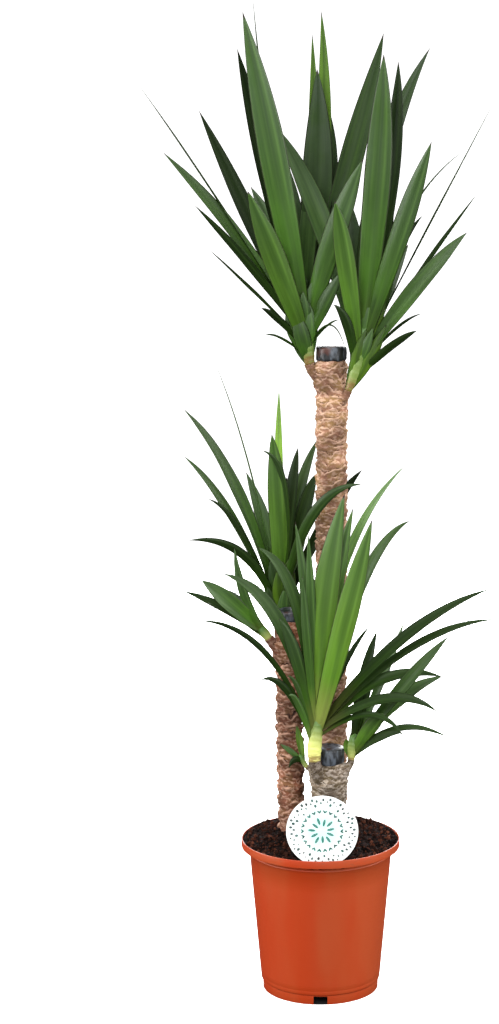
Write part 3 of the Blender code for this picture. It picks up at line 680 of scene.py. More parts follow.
@dataclass
class LeafyHead:
    """A leafy shoot: its stem and the leaves rooted in it."""

    node: str
    stem: tuple[Seen, ...]
    radii: tuple[float, ...]
    blades: tuple[Blade, ...]
    paleness: float
    seed: int
    far: FarLeaves | None = None
    clasping: int = 0
    crown: float = 0.7
    low_roots: float = 0.6
    widest: float = 0.52
    foot_share: float = 0.46
    channel: float = 0.16
    thickness: float = 0.0014
    full_width: float = 16.0
    # Painted shade at the leaf's foot: its colour darkens to foot_light at the root, and is full by lit_from
    # of its length.
    lit_from: float = 0.34
    foot_light: float = 0.5
    foot_paleness: float = 0.45
    ring_depth: float = 0.03
    rings: float = 52.0
    leaf_grid: tuple[int, int] = (12, 28)
    stem_grid: tuple[int, int] = (24, 40)

    def half_width(self, width: float, t: float) -> float:
        """Half the leaf's width in metres at a share of its length."""
        if t < self.widest:
            share = self.foot_share + (1 - self.foot_share) * math.sin(TURN / 4 * t / self.widest)
        else:
            share = 1 - ((t - self.widest) / (1 - self.widest)) ** 1.8
        return width * MM / 2 * share

    def leaf(
        self,
        skin: Skin,
        draw: random.Random,
        points: Line,
        width: float,
        turn: float = 0.0,
        growth_and_shade: GrowthAndShade = INNER,
        clasping: bool = False,
    ) -> None:
        """Add one leaf: a shallow channel, gently waved, drawn to a sharp tip.

        Args:
            skin: The mesh it is added to.
            draw: The head's seeded random draw.
            points: Its root, middle and tip.
            width: Its greatest width in millimetres.
            turn: How far it is turned from flat to the front, in degrees.
            growth_and_shade: How it has grown, and the painted light that darkens it where it lies in shade.
            clasping: Whether it is one of the short leaves that clasp the stem, paler than the rest.
        """
        twist, phase = draw.uniform(-12.0, 12.0), draw.uniform(0.0, TURN)
        wave, waves = draw.uniform(0.02, 0.07), draw.uniform(1.2, 2.6)
        youth, bloom_and_sheen, light = growth_and_shade.value
        bloom_and_sheen *= draw.uniform(0.5, 1.0)
        light *= draw.uniform(0.78, 1.15)
        paleness = self.paleness * (1.0 if clasping else self.foot_paleness)
        leaning = 1.0 if points[2].x < points[0].x else -1.0

        def side_at(heading: Vector, t: float) -> Vector:
            flat = heading.cross(points[1] - SIGHT).normalized()
            angle = math.radians(leaning * turn + twist * (t - 0.5))
            return flat * math.cos(angle) + heading.cross(flat) * math.sin(angle)

        middle_heading = curve_at(points, 0.5)[1]
        facing = 1.0 if middle_heading.cross(side_at(middle_heading, 0.5)).z >= 0 else -1.0

        def place(across: float, along: float) -> Placed:
            centre, heading = curve_at(points, along)
            # Painted shade: the growth's painted light, darkened further towards the foot where the crown
            # shades it.
            shaded = light * (self.foot_light + (1 - self.foot_light) * blend_in(along, 0.0, self.lit_from))
            traits = (youth, bloom_and_sheen, shaded, paleness)
            if along <= 0.0 or along >= 1.0:
                return centre, traits
            side = side_at(heading, along)
            up = heading.cross(side) * facing
            half = self.half_width(width, along)
            u, layer = -math.cos(TURN * across), math.sin(TURN * across)
            hollow = 2 * half * self.channel * (1 - abs(u) ** 1.4)
            ripple = half * wave * math.sin(waves * TURN * along + phase + u) * u * u
            thick = self.thickness / 2 * (1 - 0.6 * along) * min(1.0, width / self.full_width)
            return centre + side * (half * u) + up * (ripple - hollow + layer * thick), traits

        skin.wrap(*self.leaf_grid, place)

    def stem_points(self) -> Line:
        """The stem's foot, middle and top in metres."""
        return tuple(seen(*place) for place in self.stem)

    def add_stem(self, skin: Skin) -> None:
        """Add the stem, ringed by the feet of old leaves."""
        points, traits = self.stem_points(), (self.paleness, 0.0, 0.0, 0.0)

        def place(across: float, along: float) -> Placed:
            centre, heading = curve_at(points, along)
            if along <= 0.0 or along >= 1.0:
                return centre + heading * (self.radii[-1] * 0.6 if along > 0.5 else 0.0), traits
            rings = self.ring_depth * math.sin(along * self.rings + 2 * math.sin(TURN * across))
            radius = read_along(self.radii, along) * (1 + rings - 0.5 * blend_in(along, 0.86, 1.0))
            return centre + spoke(heading, TURN * across) * radius, traits

        skin.wrap(*self.stem_grid, place, slot=1)

    def add_clasping(self, skin: Skin, draw: random.Random) -> None:
        """Add the short leaves that clasp the stem, one above the other by the golden angle."""
        points, girth = self.stem_points(), self.radii[1]
        length = (points[2] - points[0]).length
        for i in range(self.clasping):
            root, heading = curve_at(points, self.crown * i / self.clasping)
            outward = spoke(heading, GOLDEN_ANGLE * i + self.seed) * girth
            reach = heading * (length * draw.uniform(0.6, 0.95))
            middle = root + reach * 0.5 + outward * 1.12
            tip = root + reach + outward * draw.uniform(1.3, 2.2)
            width = girth / MM * draw.uniform(1.7, 2.3)
            growth_and_shade = draw.choice((MATURE, DIM, OLIVE))
            self.leaf(skin, draw, (root, middle, tip), width, growth_and_shade=growth_and_shade, clasping=True)

    def add_blades(self, skin: Skin, draw: random.Random) -> None:
        """Add the leaves that the front shows."""
        for blade in self.blades:
            root = curve_at(self.stem_points(), blade.level * self.low_roots)[0]
            self.leaf(skin, draw, blade.points(root), blade.width, blade.turn, blade.growth_and_shade)

    def add_far_leaves(self, skin: Skin, draw: random.Random, rule: FarLeaves) -> None:
        """Add the leaves of the far side, spread by the golden section, darkened by the inner leaves' painted
        shade.
        """
        sizes = random.Random(rule.seed)
        for i in range(rule.count):
            share = (i + 0.5) / rule.count
            out = spoke(UP, math.radians(rule.toward + rule.spread * (2 * (i * GOLDEN_SHARE % 1.0) - 1)))
            rise = math.radians(rule.low + (rule.high - rule.low) * share)
            length = rule.length * sizes.uniform(0.82, 1.0)
            root = curve_at(self.stem_points(), 0.3 + 0.6 * share)[0]
            tip = root + (out * math.cos(rise) + UP * math.sin(rise)) * length
            middle = (root + tip) / 2 + (UP - out) * 0.04 * length
            self.leaf(skin, draw, (root, middle, tip), rule.width_mm * sizes.uniform(0.8, 1.0))

    def build(self, looks: list[bpy.types.Material]) -> None:
        """Build the head as one piece, with the leaf's and the stem's materials."""
        skin, draw = Skin(), random.Random(self.seed)
        self.add_stem(skin)
        self.add_clasping(skin, draw)
        self.add_blades(skin, draw)
        if self.far:
            self.add_far_leaves(skin, draw, self.far)
        stands_for(skin.piece("leaves_" + self.node, looks), "leaf", self.node)


@dataclass
class Cane:
    """A cut stem with leaf-scar rings, scaly plates and a collar under each shoot.

    Lengths are in metres. `neck` is the cut neck's radius and height. A collar is its foot inside
    the cane, the stem that it carries and its radius.
    """

    node: str
    slot: str
    finish: BarkFinish
    centre: tuple[float, float]
    radius: float
    top: float
    pitch: float
    neck: tuple[float, float]
    collars: list[tuple[Seen, tuple[Seen, ...], float]]
    seed: float
    lean: float = 0.0
    bow: float = 0.0
    scale: float = 0.0110
    arcs: int = 6
    waver: float = 0.9
    lift: float = 0.0020
    cuff: float = 0.0025
    fillet: float = 0.004
    fillet_below: float = 0.05
    fillet_above: float = 0.03
    soil_line: float = 0.2390
    foot: float = 0.225
    margin: float = 0.003
    ridge: float = 0.0026
    ridge_wave: float = 0.003
    row_turn: float = 2.4
    broad_noise: tuple[float, float] = (34.0, 24.0)
    small_noise: tuple[float, float] = (150.0, 110.0)
    patch_noise: tuple[float, float] = (90.0, 90.0)
    tint_noise: tuple[float, float] = (28.0, 34.0)
    unevenness: float = 0.0012
    neck_edge: float = 0.0015
    grid: float = 0.0015
    # Painted shade: the tint paints the bark darker lower down, where the leaves above shade it, fading out
    # between these heights.
    lower_shade: float = 0.0
    lower_shade_up_to: tuple[float, float] = (0.62, 0.88)
    collar_grid: tuple[int, int] = (36, 34)
    collar_closing: float = 0.9
    collar_steps: int = 11

    def middle_at(self, z: float) -> Vector:
        """The cane's centre at a height."""
        share = max(0.0, (z - self.soil_line) / (self.top - self.soil_line))
        drift = self.lean * share + self.bow * math.sin(math.pi * share)
        return Vector((self.centre[0] + drift, self.centre[1], z))

    def ring_lift(self, angle: float, z: float) -> float:
        """How far the leaf-scar rings stand out from the mean radius."""
        start = self.soil_line + self.margin
        run = self.top - self.neck[1] - self.margin - start
        step = run / max(2, round(run / self.pitch))
        phase = self.row_turn * math.floor((z - start) / step)
        lift = self.ridge_wave * (math.sin(2 * angle + phase) + 0.5 * math.sin(3 * angle - 2 * phase))
        share = ((z - lift - start) / step) % 1.0
        return self.ridge * (blend_in(share, 0.1, 0.86) - blend_in(share, 0.88, 1.0) - 0.5)

    def scales(self, place: Vector, angle: float) -> tuple[float, Traits]:
        """Read the arched old leaf scars at a place.

        Args:
            place: Where, as if the cane stood straight on the axis.
            angle: Its direction round the cane.

        Returns:
            The relief, about 0 on a plate, higher on a lip and lowest in a crack, and the traits there: how
            far from a crack, whose dark colour is partly painted shade, the lip's painted highlight and the
            tint.
        """
        here = place + Vector((self.seed, 0.0, self.seed))
        wander = 1.1 * noise_at(here, *self.broad_noise) + 0.35 * noise_at(here, *self.small_noise)
        count = place.z / self.scale + self.waver * wander
        row = math.floor(count)
        over = count - row - 0.38 - 0.42 * abs(math.sin(self.arcs / 2 * angle + self.row_turn * row))
        patch = noise_at(here, *self.patch_noise)
        # The crack under each lip, whose dark colour is partly painted shade.
        crack_and_shade = blend_in(over, -0.02, 0.06) * (1 - blend_in(over, 0.07, 0.19)) * blend_in(patch, -0.55, 0.1)
        # The lip, whose pale colour is a painted highlight.
        lip = blend_in(over, -0.38, -0.08) * (1 - blend_in(over, -0.06, 0.03))
        tint = blend_in(noise_at(here, *self.tint_noise), -0.35, 0.45)
        # Painted shade: more tint lower down, under the leaves.
        tint = min(1.0, tint + self.lower_shade * (1 - blend_in(place.z, *self.lower_shade_up_to)))
        relief = 0.65 * lip - 0.85 * crack_and_shade - 0.35
        return self.lift * relief, (1 - crack_and_shade, lip * blend_in(patch, -0.4, 0.4), tint, 0.0)

    def collar_points(self, inner: Seen, stem: tuple[Seen, ...]) -> Line:
        """The collar's line, from inside the cane to square under the shoot's seat."""
        seat, heading = curve_at(tuple(seen(*place) for place in stem), 0.0)
        root = seen(*inner)
        mean = (root + seat) / 2
        return root, mean + ((seat - heading * (seat - root).length / 2) - mean) * 0.4, seat

    def branches(self) -> list[tuple[list[Vector], float]]:
        """The middle line and the radius of each collar."""
        shares = [i / self.collar_steps for i in range(self.collar_steps + 1)]
        return [
            ([curve_at(self.collar_points(inner, stem), share)[0] for share in shares], radius)
            for inner, stem, radius in self.collars
        ]

    def swell(self, spot: Vector, branches: list[tuple[list[Vector], float]]) -> float:
        """How far the bark at a spot swells into the collars beside it."""
        most = 0.0
        for line, radius in branches:
            if line[0].z - self.fillet_below < spot.z < line[-1].z + self.fillet_above:
                clear = min((spot - place).length for place in line) - radius
                most = max(most, self.fillet * (1 - blend_in(clear, 0.0, 4 * self.fillet)))
        return most

    def add_bark(self, skin: Skin) -> None:
        """Add the cane's bark from below the soil to its cut neck."""
        bark_top = self.top - self.neck[1]
        height = self.top - self.foot
        branches = self.branches()

        def place(across: float, along: float) -> Placed:
            z, angle = self.foot + height * along, TURN * across
            if along <= 0.0 or along >= 1.0:
                return self.middle_at(z), PLAIN
            outward = spoke(UP, angle)
            relief, traits = self.scales(outward * self.radius + UP * z, angle)
            radius = self.radius + self.ring_lift(angle, z) + relief
            radius += self.swell(self.middle_at(z) + outward * radius, branches)
            radius += self.unevenness * noise.noise(outward * 1.3 + UP * (z * 18 + self.seed))
            radius += (self.neck[0] - radius) * blend_in(z - bark_top, -self.neck_edge, self.neck_edge)
            return self.middle_at(z) + outward * radius, traits

        skin.wrap(round(TURN * self.radius / self.grid), round(height / self.grid), place)

    def add_collar(self, skin: Skin, points: Line, radius: float) -> None:
        """Add the collar of bark along a line from inside the cane to a shoot's seat."""
        closing = self.collar_closing

        def place(across: float, along: float) -> Placed:
            reach = min(1.0, along / closing)
            centre, toward = curve_at(points, reach)
            centre = centre + toward * self.cuff * blend_in(reach, 0.6, 1.0)
            if along <= 0.0 or along >= 1.0:
                return centre, PLAIN
            outward = spoke(toward, TURN * across)
            relief, (whole, lip, tint, _) = self.scales(centre + outward * radius, TURN * across)
            wide = radius * (1.2 - 0.12 * reach) + 0.4 * relief
            wide *= math.sqrt(max(0.0, 1 - (max(0.0, along - closing) / (1 - closing)) ** 2))
            traits = (whole, lip * (1 - 0.6 * reach), max(tint, blend_in(reach, 0.45, 0.95)), 0.0)
            return centre + outward * wide, traits

        skin.wrap(*self.collar_grid, place)

    def build(self) -> None:
        """Build the cane with its collars as one piece."""
        skin = Skin()
        self.add_bark(skin)
        for inner, stem, radius in self.collars:
            self.add_collar(skin, self.collar_points(inner, stem), radius)
        stands_for(skin.piece("bark_" + self.node, [self.finish.make()]), self.slot, self.node)


@dataclass
class WaxCap:
    """Sealing wax that has run a little over a cane's cut top, in the space of its plain solid."""

    node: str
    seed: float
    run: float = 0.0016
    rim: float = 0.0032
    inset: float = 0.0004
    lump: float = 0.0006
    dip: float = 0.0012
    under_end: float = 0.12
    wall_end: float = 0.6
    grid: tuple[int, int] = (64, 44)

    def build(self, look: bpy.types.Material) -> None:
        """Build the cap from its underside up its wall and over its top."""
        low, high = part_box(self.node)
        radius = (high.x - low.x) / 2 - self.inset
        axis = Vector(((low.x + high.x) / 2, (low.y + high.y) / 2, 0.0))
        shoulder = high.z - self.rim

        def place(across: float, along: float) -> Placed:
            outward = spoke(UP, TURN * across)
            foot = low.z + self.run * (1 + noise.noise(outward * 1.6 + Vector((self.seed, 0, 0))))
            if along <= 0.0:
                return axis + UP * (low.z + self.run), PLAIN
            if along < self.under_end:
                reach, z = radius * 0.93 * along / self.under_end, foot + self.inset
            elif along < self.wall_end:
                share = (along - self.under_end) / (self.wall_end - self.under_end)
                bulge = 1 + 0.02 * math.sin(math.pi * share) - 0.03 * (1 - blend_in(share, 0.0, 0.15))
                lumps = self.lump * noise.noise(outward * 3 + Vector((0, self.seed, along * 4)))
                reach, z = radius * bulge + lumps, foot + (shoulder - foot) * share
            else:
                share = (along - self.wall_end) / (1 - self.wall_end)
                z = shoulder + (self.rim - self.inset) * math.sin(TURN / 4 * min(1.0, share * 2.2))
                z -= self.dip * blend_in(share, 0.5, 1.0)
                reach = radius * (1 - blend_in(share, -0.1, 1.05) if share < 1.0 else 0.0)
            return axis + outward * reach + UP * z, PLAIN

        skin = Skin()
        skin.wrap(*self.grid, place)
        stands_for(skin.piece("seal_" + self.node, [look]), "wax", self.node)


@dataclass
class NurseryPot:
    """A round pot with a rim band, a bead below it and notches in its foot. Lengths are in metres."""

    rim: float = 0.120
    top: float = 0.235
    band: float = 0.012
    body_top: float = 0.1085
    body_foot: float = 0.0905
    foot: float = 0.0885
    foot_height: float = 0.016
    wall: float = 0.0018
    foot_wall: float = 0.0025
    floor: float = 0.0103
    under: float = 0.008
    pad: float = 0.030
    bead: float = 0.0008
    bead_top: float = 0.2165
    step_top: float = 0.2265
    notches: int = 4
    notch_width: float = 0.021
    notch_height: float = 0.0135
    notch_depth: float = 0.017
    notch_inset: float = 0.004
    notch_overrun: float = 0.002
    groove: float = 0.0215
    groove_depth: float = 0.0003
    soft: float = 0.0006
    sides: int = 160
    arc_steps: int = 8
    sharp_from: float = math.radians(38)

    def body_radius(self, z: float) -> float:
        """The body's outer radius at a height."""
        share = (z - self.foot_height) / (self.top - self.band - self.foot_height)
        return self.body_foot + (self.body_top - self.body_foot) * share

    def half_circle(self) -> list[float]:
        """The angles of a half circle's points."""
        return [math.pi * i / self.arc_steps for i in range(self.arc_steps + 1)]

    def lip(self) -> list[tuple[float, float]]:
        """The round lip, from the inside out."""
        middle, lip = self.rim - self.wall / 2, self.wall / 2
        return [
            (middle - lip * math.cos(a), self.top - lip + lip * math.sin(a)) for a in self.half_circle()
        ]

    def beading(self) -> list[tuple[float, float]]:
        """The bead below the rim band, from its top down."""
        heights = ((a, self.bead_top - 4 * self.bead * a / math.pi) for a in self.half_circle())
        return [(self.body_radius(z) + self.bead * math.sin(a), z) for a, z in heights]

    def profile(self) -> list[tuple[float, float]]:
        """The turned outline, from the middle of the floor round the wall to the middle of the underside."""
        band, soft, inner = self.top - self.band, self.soft, self.rim - self.wall
        inside_foot, foot_inner = self.foot - self.wall, self.foot - self.foot_wall
        groove = self.body_radius(self.groove) - self.groove_depth
        return [
            (0.0, self.floor),
            (inside_foot, self.floor),
            (inside_foot, self.foot_height + 0.001),
            (self.body_top - self.wall, band - soft),
            (inner - 0.001, self.step_top - soft),
            (inner, self.step_top + soft),
            *self.lip(),
            (self.rim, band + 2 * soft),
            (self.rim - 0.3 * soft, band + 0.6 * soft),
            (self.rim - 1.3 * soft, band),
            (self.body_top + 2 * soft, band),
            (self.body_top, band - 2 * soft),
            *self.beading(),
            *((self.body_radius(z), z) for z in (0.18, 0.14, 0.10, 0.06, 0.03, self.groove + 2 * soft)),
            (groove, self.groove + 0.5 * soft),
            (groove, self.groove - 0.5 * soft),
            (self.body_foot, self.foot_height + soft),
            (self.body_foot - soft, self.foot_height - soft),
            (self.foot, self.foot_height - 3 * soft),
            (self.foot - 0.0004, 2 * soft),
            (self.foot - 0.001, 0.0),
            (foot_inner, 0.0),
            (foot_inner - 0.5 * soft, self.under),
            (self.pad + 0.004, self.under),
            (self.pad + soft, soft),
            (self.pad, 0.0),
            (0.0, 0.0),
        ]

    def cut_notches(self, pot: bpy.types.Object) -> None:
        """Cut the drain notches through the foot."""
        bm = bmesh.new()
        for i in range(self.notches):
            turn = Matrix.Rotation(TURN * i / self.notches - TURN / 4, 4, "Z")
            height = self.notch_height + self.notch_overrun
            place = Matrix.Translation((self.foot - self.notch_inset, 0.0, self.notch_height - height / 2))
            size = Matrix.Diagonal((self.notch_depth, self.notch_width, height, 1.0))
            bmesh.ops.create_cube(bm, size=1.0, matrix=turn @ place @ size)
        cutter = placed("notch cutter", bm, [])
        modifier = pot.modifiers.new("notches", "BOOLEAN")
        modifier.operation, modifier.object, modifier.solver = "DIFFERENCE", cutter, "EXACT"
        cut = bpy.data.meshes.new_from_object(pot.evaluated_get(bpy.context.evaluated_depsgraph_get()))
        pot.modifiers.clear()
        pot.data = cut
        bpy.data.objects.remove(cutter, do_unlink=True)

    def build(self) -> None:
        """Build the pot."""
        pot = placed("nursery_pot", turned(self.profile(), self.sides), [PotFinish().make()])
        self.cut_notches(pot)
        pot.data.shade_smooth()
        pot.data.set_sharp_from_angle(angle=self.sharp_from)
        stands_for(pot, "pot_plastic", "pot")


@dataclass
class PottingSoil:
    """Rough soil that fills the pot, with chips, clods and grit on it. Lengths are in metres."""

    canes: list[Cane]
    pot: NurseryPot
    label_depth: float = 0.088
    label_reach: float = 0.05
    clearance: float = 0.004
    edge: float = 0.2310
    mound: float = 0.005
    floor: float = 0.0106
    gap: float = 0.0007
    tilt: float = 0.0055
    hollow: float = 0.0035
    clod: float = 0.0026
    crumb: float = 0.0022
    grain: float = 0.001
    walls: float = 0.12
    grid: tuple[int, int] = (200, 100)
    chips: int = 1500
    chip_least: float = 0.0010
    chip_extra: float = 0.0034
    chip_gap: float = 0.0015
    seed: int = 5

    def height_at(self, x: float, y: float) -> float:
        """The soil's height at a place: mounded, higher at the back, pressed down before the label."""
        reach = self.pot.rim - self.pot.wall
        share = min(1.0, math.hypot(x, y) / reach)
        level = self.edge + self.mound * math.sin(TURN / 4 * (1 - share)) + self.tilt * y / reach
        level -= self.hollow * blend_in(-y, 0.075, 0.092) * (1 - blend_in(abs(x), 0.035, 0.060))
        place = Vector((x, y, 0.0))
        rough = self.clod * noise.noise(place * 60) + self.crumb * noise.noise(place * 150)
        rough *= 1.0 - 0.5 * blend_in(-y, 0.08, 0.1)
        return level + rough + self.grain * noise.noise(place * 420)

    def ground(self) -> None:
        """Build the soil itself as one closed piece, up the pot's inside and in over the top."""
        pot, inset = self.pot, self.pot.wall + self.gap
        outline = [
            Vector((0.0, self.floor)),
            Vector((pot.foot - inset, self.floor)),
            Vector((pot.foot - inset, pot.foot_height)),
            Vector((pot.body_top - inset, pot.top - pot.band - 0.001)),
            Vector((pot.rim - inset, pot.step_top + 0.001)),
        ]

        def place(across: float, along: float) -> Placed:
            outward = spoke(UP, TURN * across)
            if along < self.walls:
                radius, z = read_along(outline, along / self.walls)
                return outward * radius + UP * z, PLAIN
            spot = outward * (outline[-1].x * (1 - along) / (1 - self.walls))
            return spot + UP * self.height_at(spot.x, spot.y), PLAIN

        skin = Skin()
        skin.wrap(*self.grid, place)
        stands_for(skin.piece("potting_soil", [SoilFinish().make()]), "soil", "soil")

    def is_free(self, x: float, y: float, size: float) -> bool:
        """Whether a chip of this size clears the canes and the label."""
        for cane in self.canes:
            if math.hypot(x - cane.centre[0], y - cane.centre[1]) < cane.radius + size:
                return False
        return abs(y + self.label_depth) > size + self.clearance or abs(x) > self.label_reach

    def chip(self, bm: bmesh.types.BMesh, trait: object, draw: random.Random) -> bool:
        """Drop one chip or clod, more often a small one, unless something stands there.

        Args:
            bm: The mesh it is added to.
            trait: The mesh's layer of traits.
            draw: The seeded random draw.

        Returns:
            Whether it found a free place.
        """
        size = self.chip_least + self.chip_extra * draw.random() ** 3
        reach = self.pot.rim - self.pot.wall - self.chip_gap - size * 1.3
        radius = reach * math.sqrt(draw.random())
        angle = draw.uniform(0.0, TURN)
        x, y = radius * math.cos(angle), radius * math.sin(angle)
        if not self.is_free(x, y, size * 1.4):
            return False
        turn = Euler([draw.uniform(0.0, TURN) for _ in range(3)]).to_matrix().to_4x4()
        long, flat = draw.uniform(0.8, 1.5), draw.uniform(0.35, 0.8)
        shape = Matrix.Diagonal((size * long, size, size * flat, 1.0))
        place = Matrix.Translation((x, y, self.height_at(x, y) + size * 0.15))
        made = bmesh.ops.create_icosphere(bm, subdivisions=1, radius=1.0, matrix=place @ turn @ shape)
        tint = Vector((draw.random() ** 2.2, 0.0, 0.0))
        for vert in made["verts"]:
            vert.co += (vert.co - place.translation) * draw.uniform(-0.25, 0.2)
            vert[trait] = tint
        return True

    def build(self) -> None:
        """Build the soil and the chips that lie on it."""
        self.ground()
        draw, bm, dropped = random.Random(self.seed), bmesh.new(), 0
        trait = bm.verts.layers.float_vector.new(Skin.TRAIT)
        while dropped < self.chips:
            dropped += self.chip(bm, trait, draw)
        stands_for(placed("soil_chips", bm, [ChipFinish().make()]), "soil")


@dataclass
class PlantLabel:
    """A round label on a stake, with a plain sprig pattern printed on its front. Lengths are in metres."""

    centre: tuple[float, float, float] = (0.0025, -0.090, 0.2725)
    radius: float = 0.0535
    thickness: float = 0.0010
    lean: float = math.radians(4.0)
    stake_width: float = 0.012
    stake_length: float = 0.060
    arc_steps: int = 120
    rounding: float = 0.0003
    ink: float = 0.00012
    star_leaves: int = 11
    star_leaf: tuple[float, float] = (0.0120, 0.0042)
    star_reach: float = 0.24
    ring_pairs: int = 22
    ring_leaf: tuple[float, float] = (0.0064, 0.0026)
    ring_reach: float = 0.55
    dots: int = 70
    dot_sizes: tuple[float, float] = (0.0018, 0.0044)
    dots_from: float = 0.66
    dots_reach: float = 0.26
    seed: int = 3

    def stand(self, name: str, bm: bmesh.types.BMesh, look: bpy.types.Material) -> bpy.types.Object:
        """Point a mesh's faces outward, and move it from flat in X and Z to the label's place and lean."""
        bmesh.ops.recalc_face_normals(bm, faces=bm.faces)
        place = Matrix.Translation(self.centre) @ Matrix.Rotation(-self.lean, 4, "X")
        bmesh.ops.transform(bm, matrix=place, verts=bm.verts)
        return placed(name, bm, [look])

    def card(self) -> None:
        """Build the disc and its stake from one outline."""
        corner = math.asin(self.stake_width / 2 / self.radius)
        start, sweep = corner - TURN / 4, TURN - 2 * corner
        angles = (start + sweep * i / self.arc_steps for i in range(self.arc_steps + 1))
        outline = [(self.radius * math.cos(a), self.radius * math.sin(a)) for a in angles]
        foot, half = -self.radius - self.stake_length, self.stake_width / 2
        outline += [(-half, foot + 1.4 * half), (0.0, foot), (half, foot + 1.4 * half)]
        bm = bmesh.new()
        front = -self.thickness / 2
        face = bm.faces.new([bm.verts.new((x, front, z)) for x, z in outline])
        bm.normal_update()
        bmesh.ops.solidify(bm, geom=[face], thickness=self.thickness)
        shift = front - min(vert.co.y for vert in bm.verts)
        bmesh.ops.translate(bm, verts=bm.verts, vec=(0.0, shift, 0.0))
        bmesh.ops.recalc_face_normals(bm, faces=bm.faces)
        bmesh.ops.bevel(
            bm,
            geom=[edge for edge in bm.edges if edge.calc_face_angle(0.0) > 1.0],
            offset=self.rounding,
            segments=2,
            profile=0.5,
            affect="EDGES",
            material=-1,
            clamp_overlap=True,
        )
        card = self.stand("label_card", bm, LabelFinish(self.centre).make())
        stands_for(card, "label_plastic", "plant_label")

    def marks(self) -> list[tuple[float, float, float, float, float, float]]:
        """Lay out the print: a star of leaves, a ring of leaf pairs and a spiral of dots to the rim.

        Returns:
            For each mark its reach as a share of the radius, its angle, length, width, turn and tone.
        """
        draw, marks = random.Random(self.seed), []
        for i in range(self.star_leaves):
            angle = TURN * i / self.star_leaves + 0.2
            marks.append((self.star_reach + 0.05 * (i % 2), angle, *self.star_leaf, angle, 1.0))
        for i in range(self.ring_pairs):
            angle = TURN * i / self.ring_pairs
            for turn in (-0.7, 0.7):
                spot, tone = angle + 0.05 * turn, draw.uniform(0.2, 1.0)
                marks.append((self.ring_reach, spot, *self.ring_leaf, angle + turn, tone))
        for i in range(self.dots):
            angle, size = GOLDEN_ANGLE * i, draw.uniform(*self.dot_sizes)
            reach = self.dots_from + self.dots_reach * math.sqrt(i / self.dots)
            marks.append((reach, angle, size * 1.3, size, angle, draw.uniform(0.0, 0.5)))
        return marks

    def print_layer(self) -> None:
        """Print every mark as a thin pointed oval."""
        bm = bmesh.new()
        trait = bm.verts.layers.float_vector.new(Skin.TRAIT)
        flat = Matrix.Rotation(TURN / 4, 4, "X")
        for reach, angle, length, width, turn, tone in self.marks():
            x, z = (self.radius * reach * way for way in (math.cos(angle), math.sin(angle)))
            shape = Matrix.Diagonal((length / 2, self.ink, width / 2, 1.0))
            place = Matrix.Translation((x, -self.thickness / 2, z)) @ Matrix.Rotation(-turn, 4, "Y")
            stamp = place @ shape @ flat
            made = bmesh.ops.create_cone(
                bm, cap_ends=True, segments=8, radius1=1.0, radius2=0.94, depth=2.0, matrix=stamp
            )
            for vert in made["verts"]:
                vert[trait] = Vector((tone, 0.0, 0.0))
        stands_for(self.stand("label_print", bm, InkFinish().make()), "label_plastic")

    def build(self) -> None:
        """Build the card and its print."""
        self.card()
        self.print_layer()


@dataclass(frozen=True)
class SoftLight:
    """A square soft light that points at the pot's axis: its place, its aim's height, side and watts."""

    name: str
    place: tuple[float, float, float]
    aim: float
    size: float
    power: float

    def hang(self) -> None:
        """Hang the light."""
        data = bpy.data.lights.new(self.name, "AREA")
        data.size, data.energy = self.size, self.power
        made = bpy.data.objects.new(self.name, data)
        made.location = self.place
        made.rotation_euler = (UP * self.aim - made.location).to_track_quat("-Z", "Y").to_euler()
        bpy.context.scene.collection.objects.link(made)


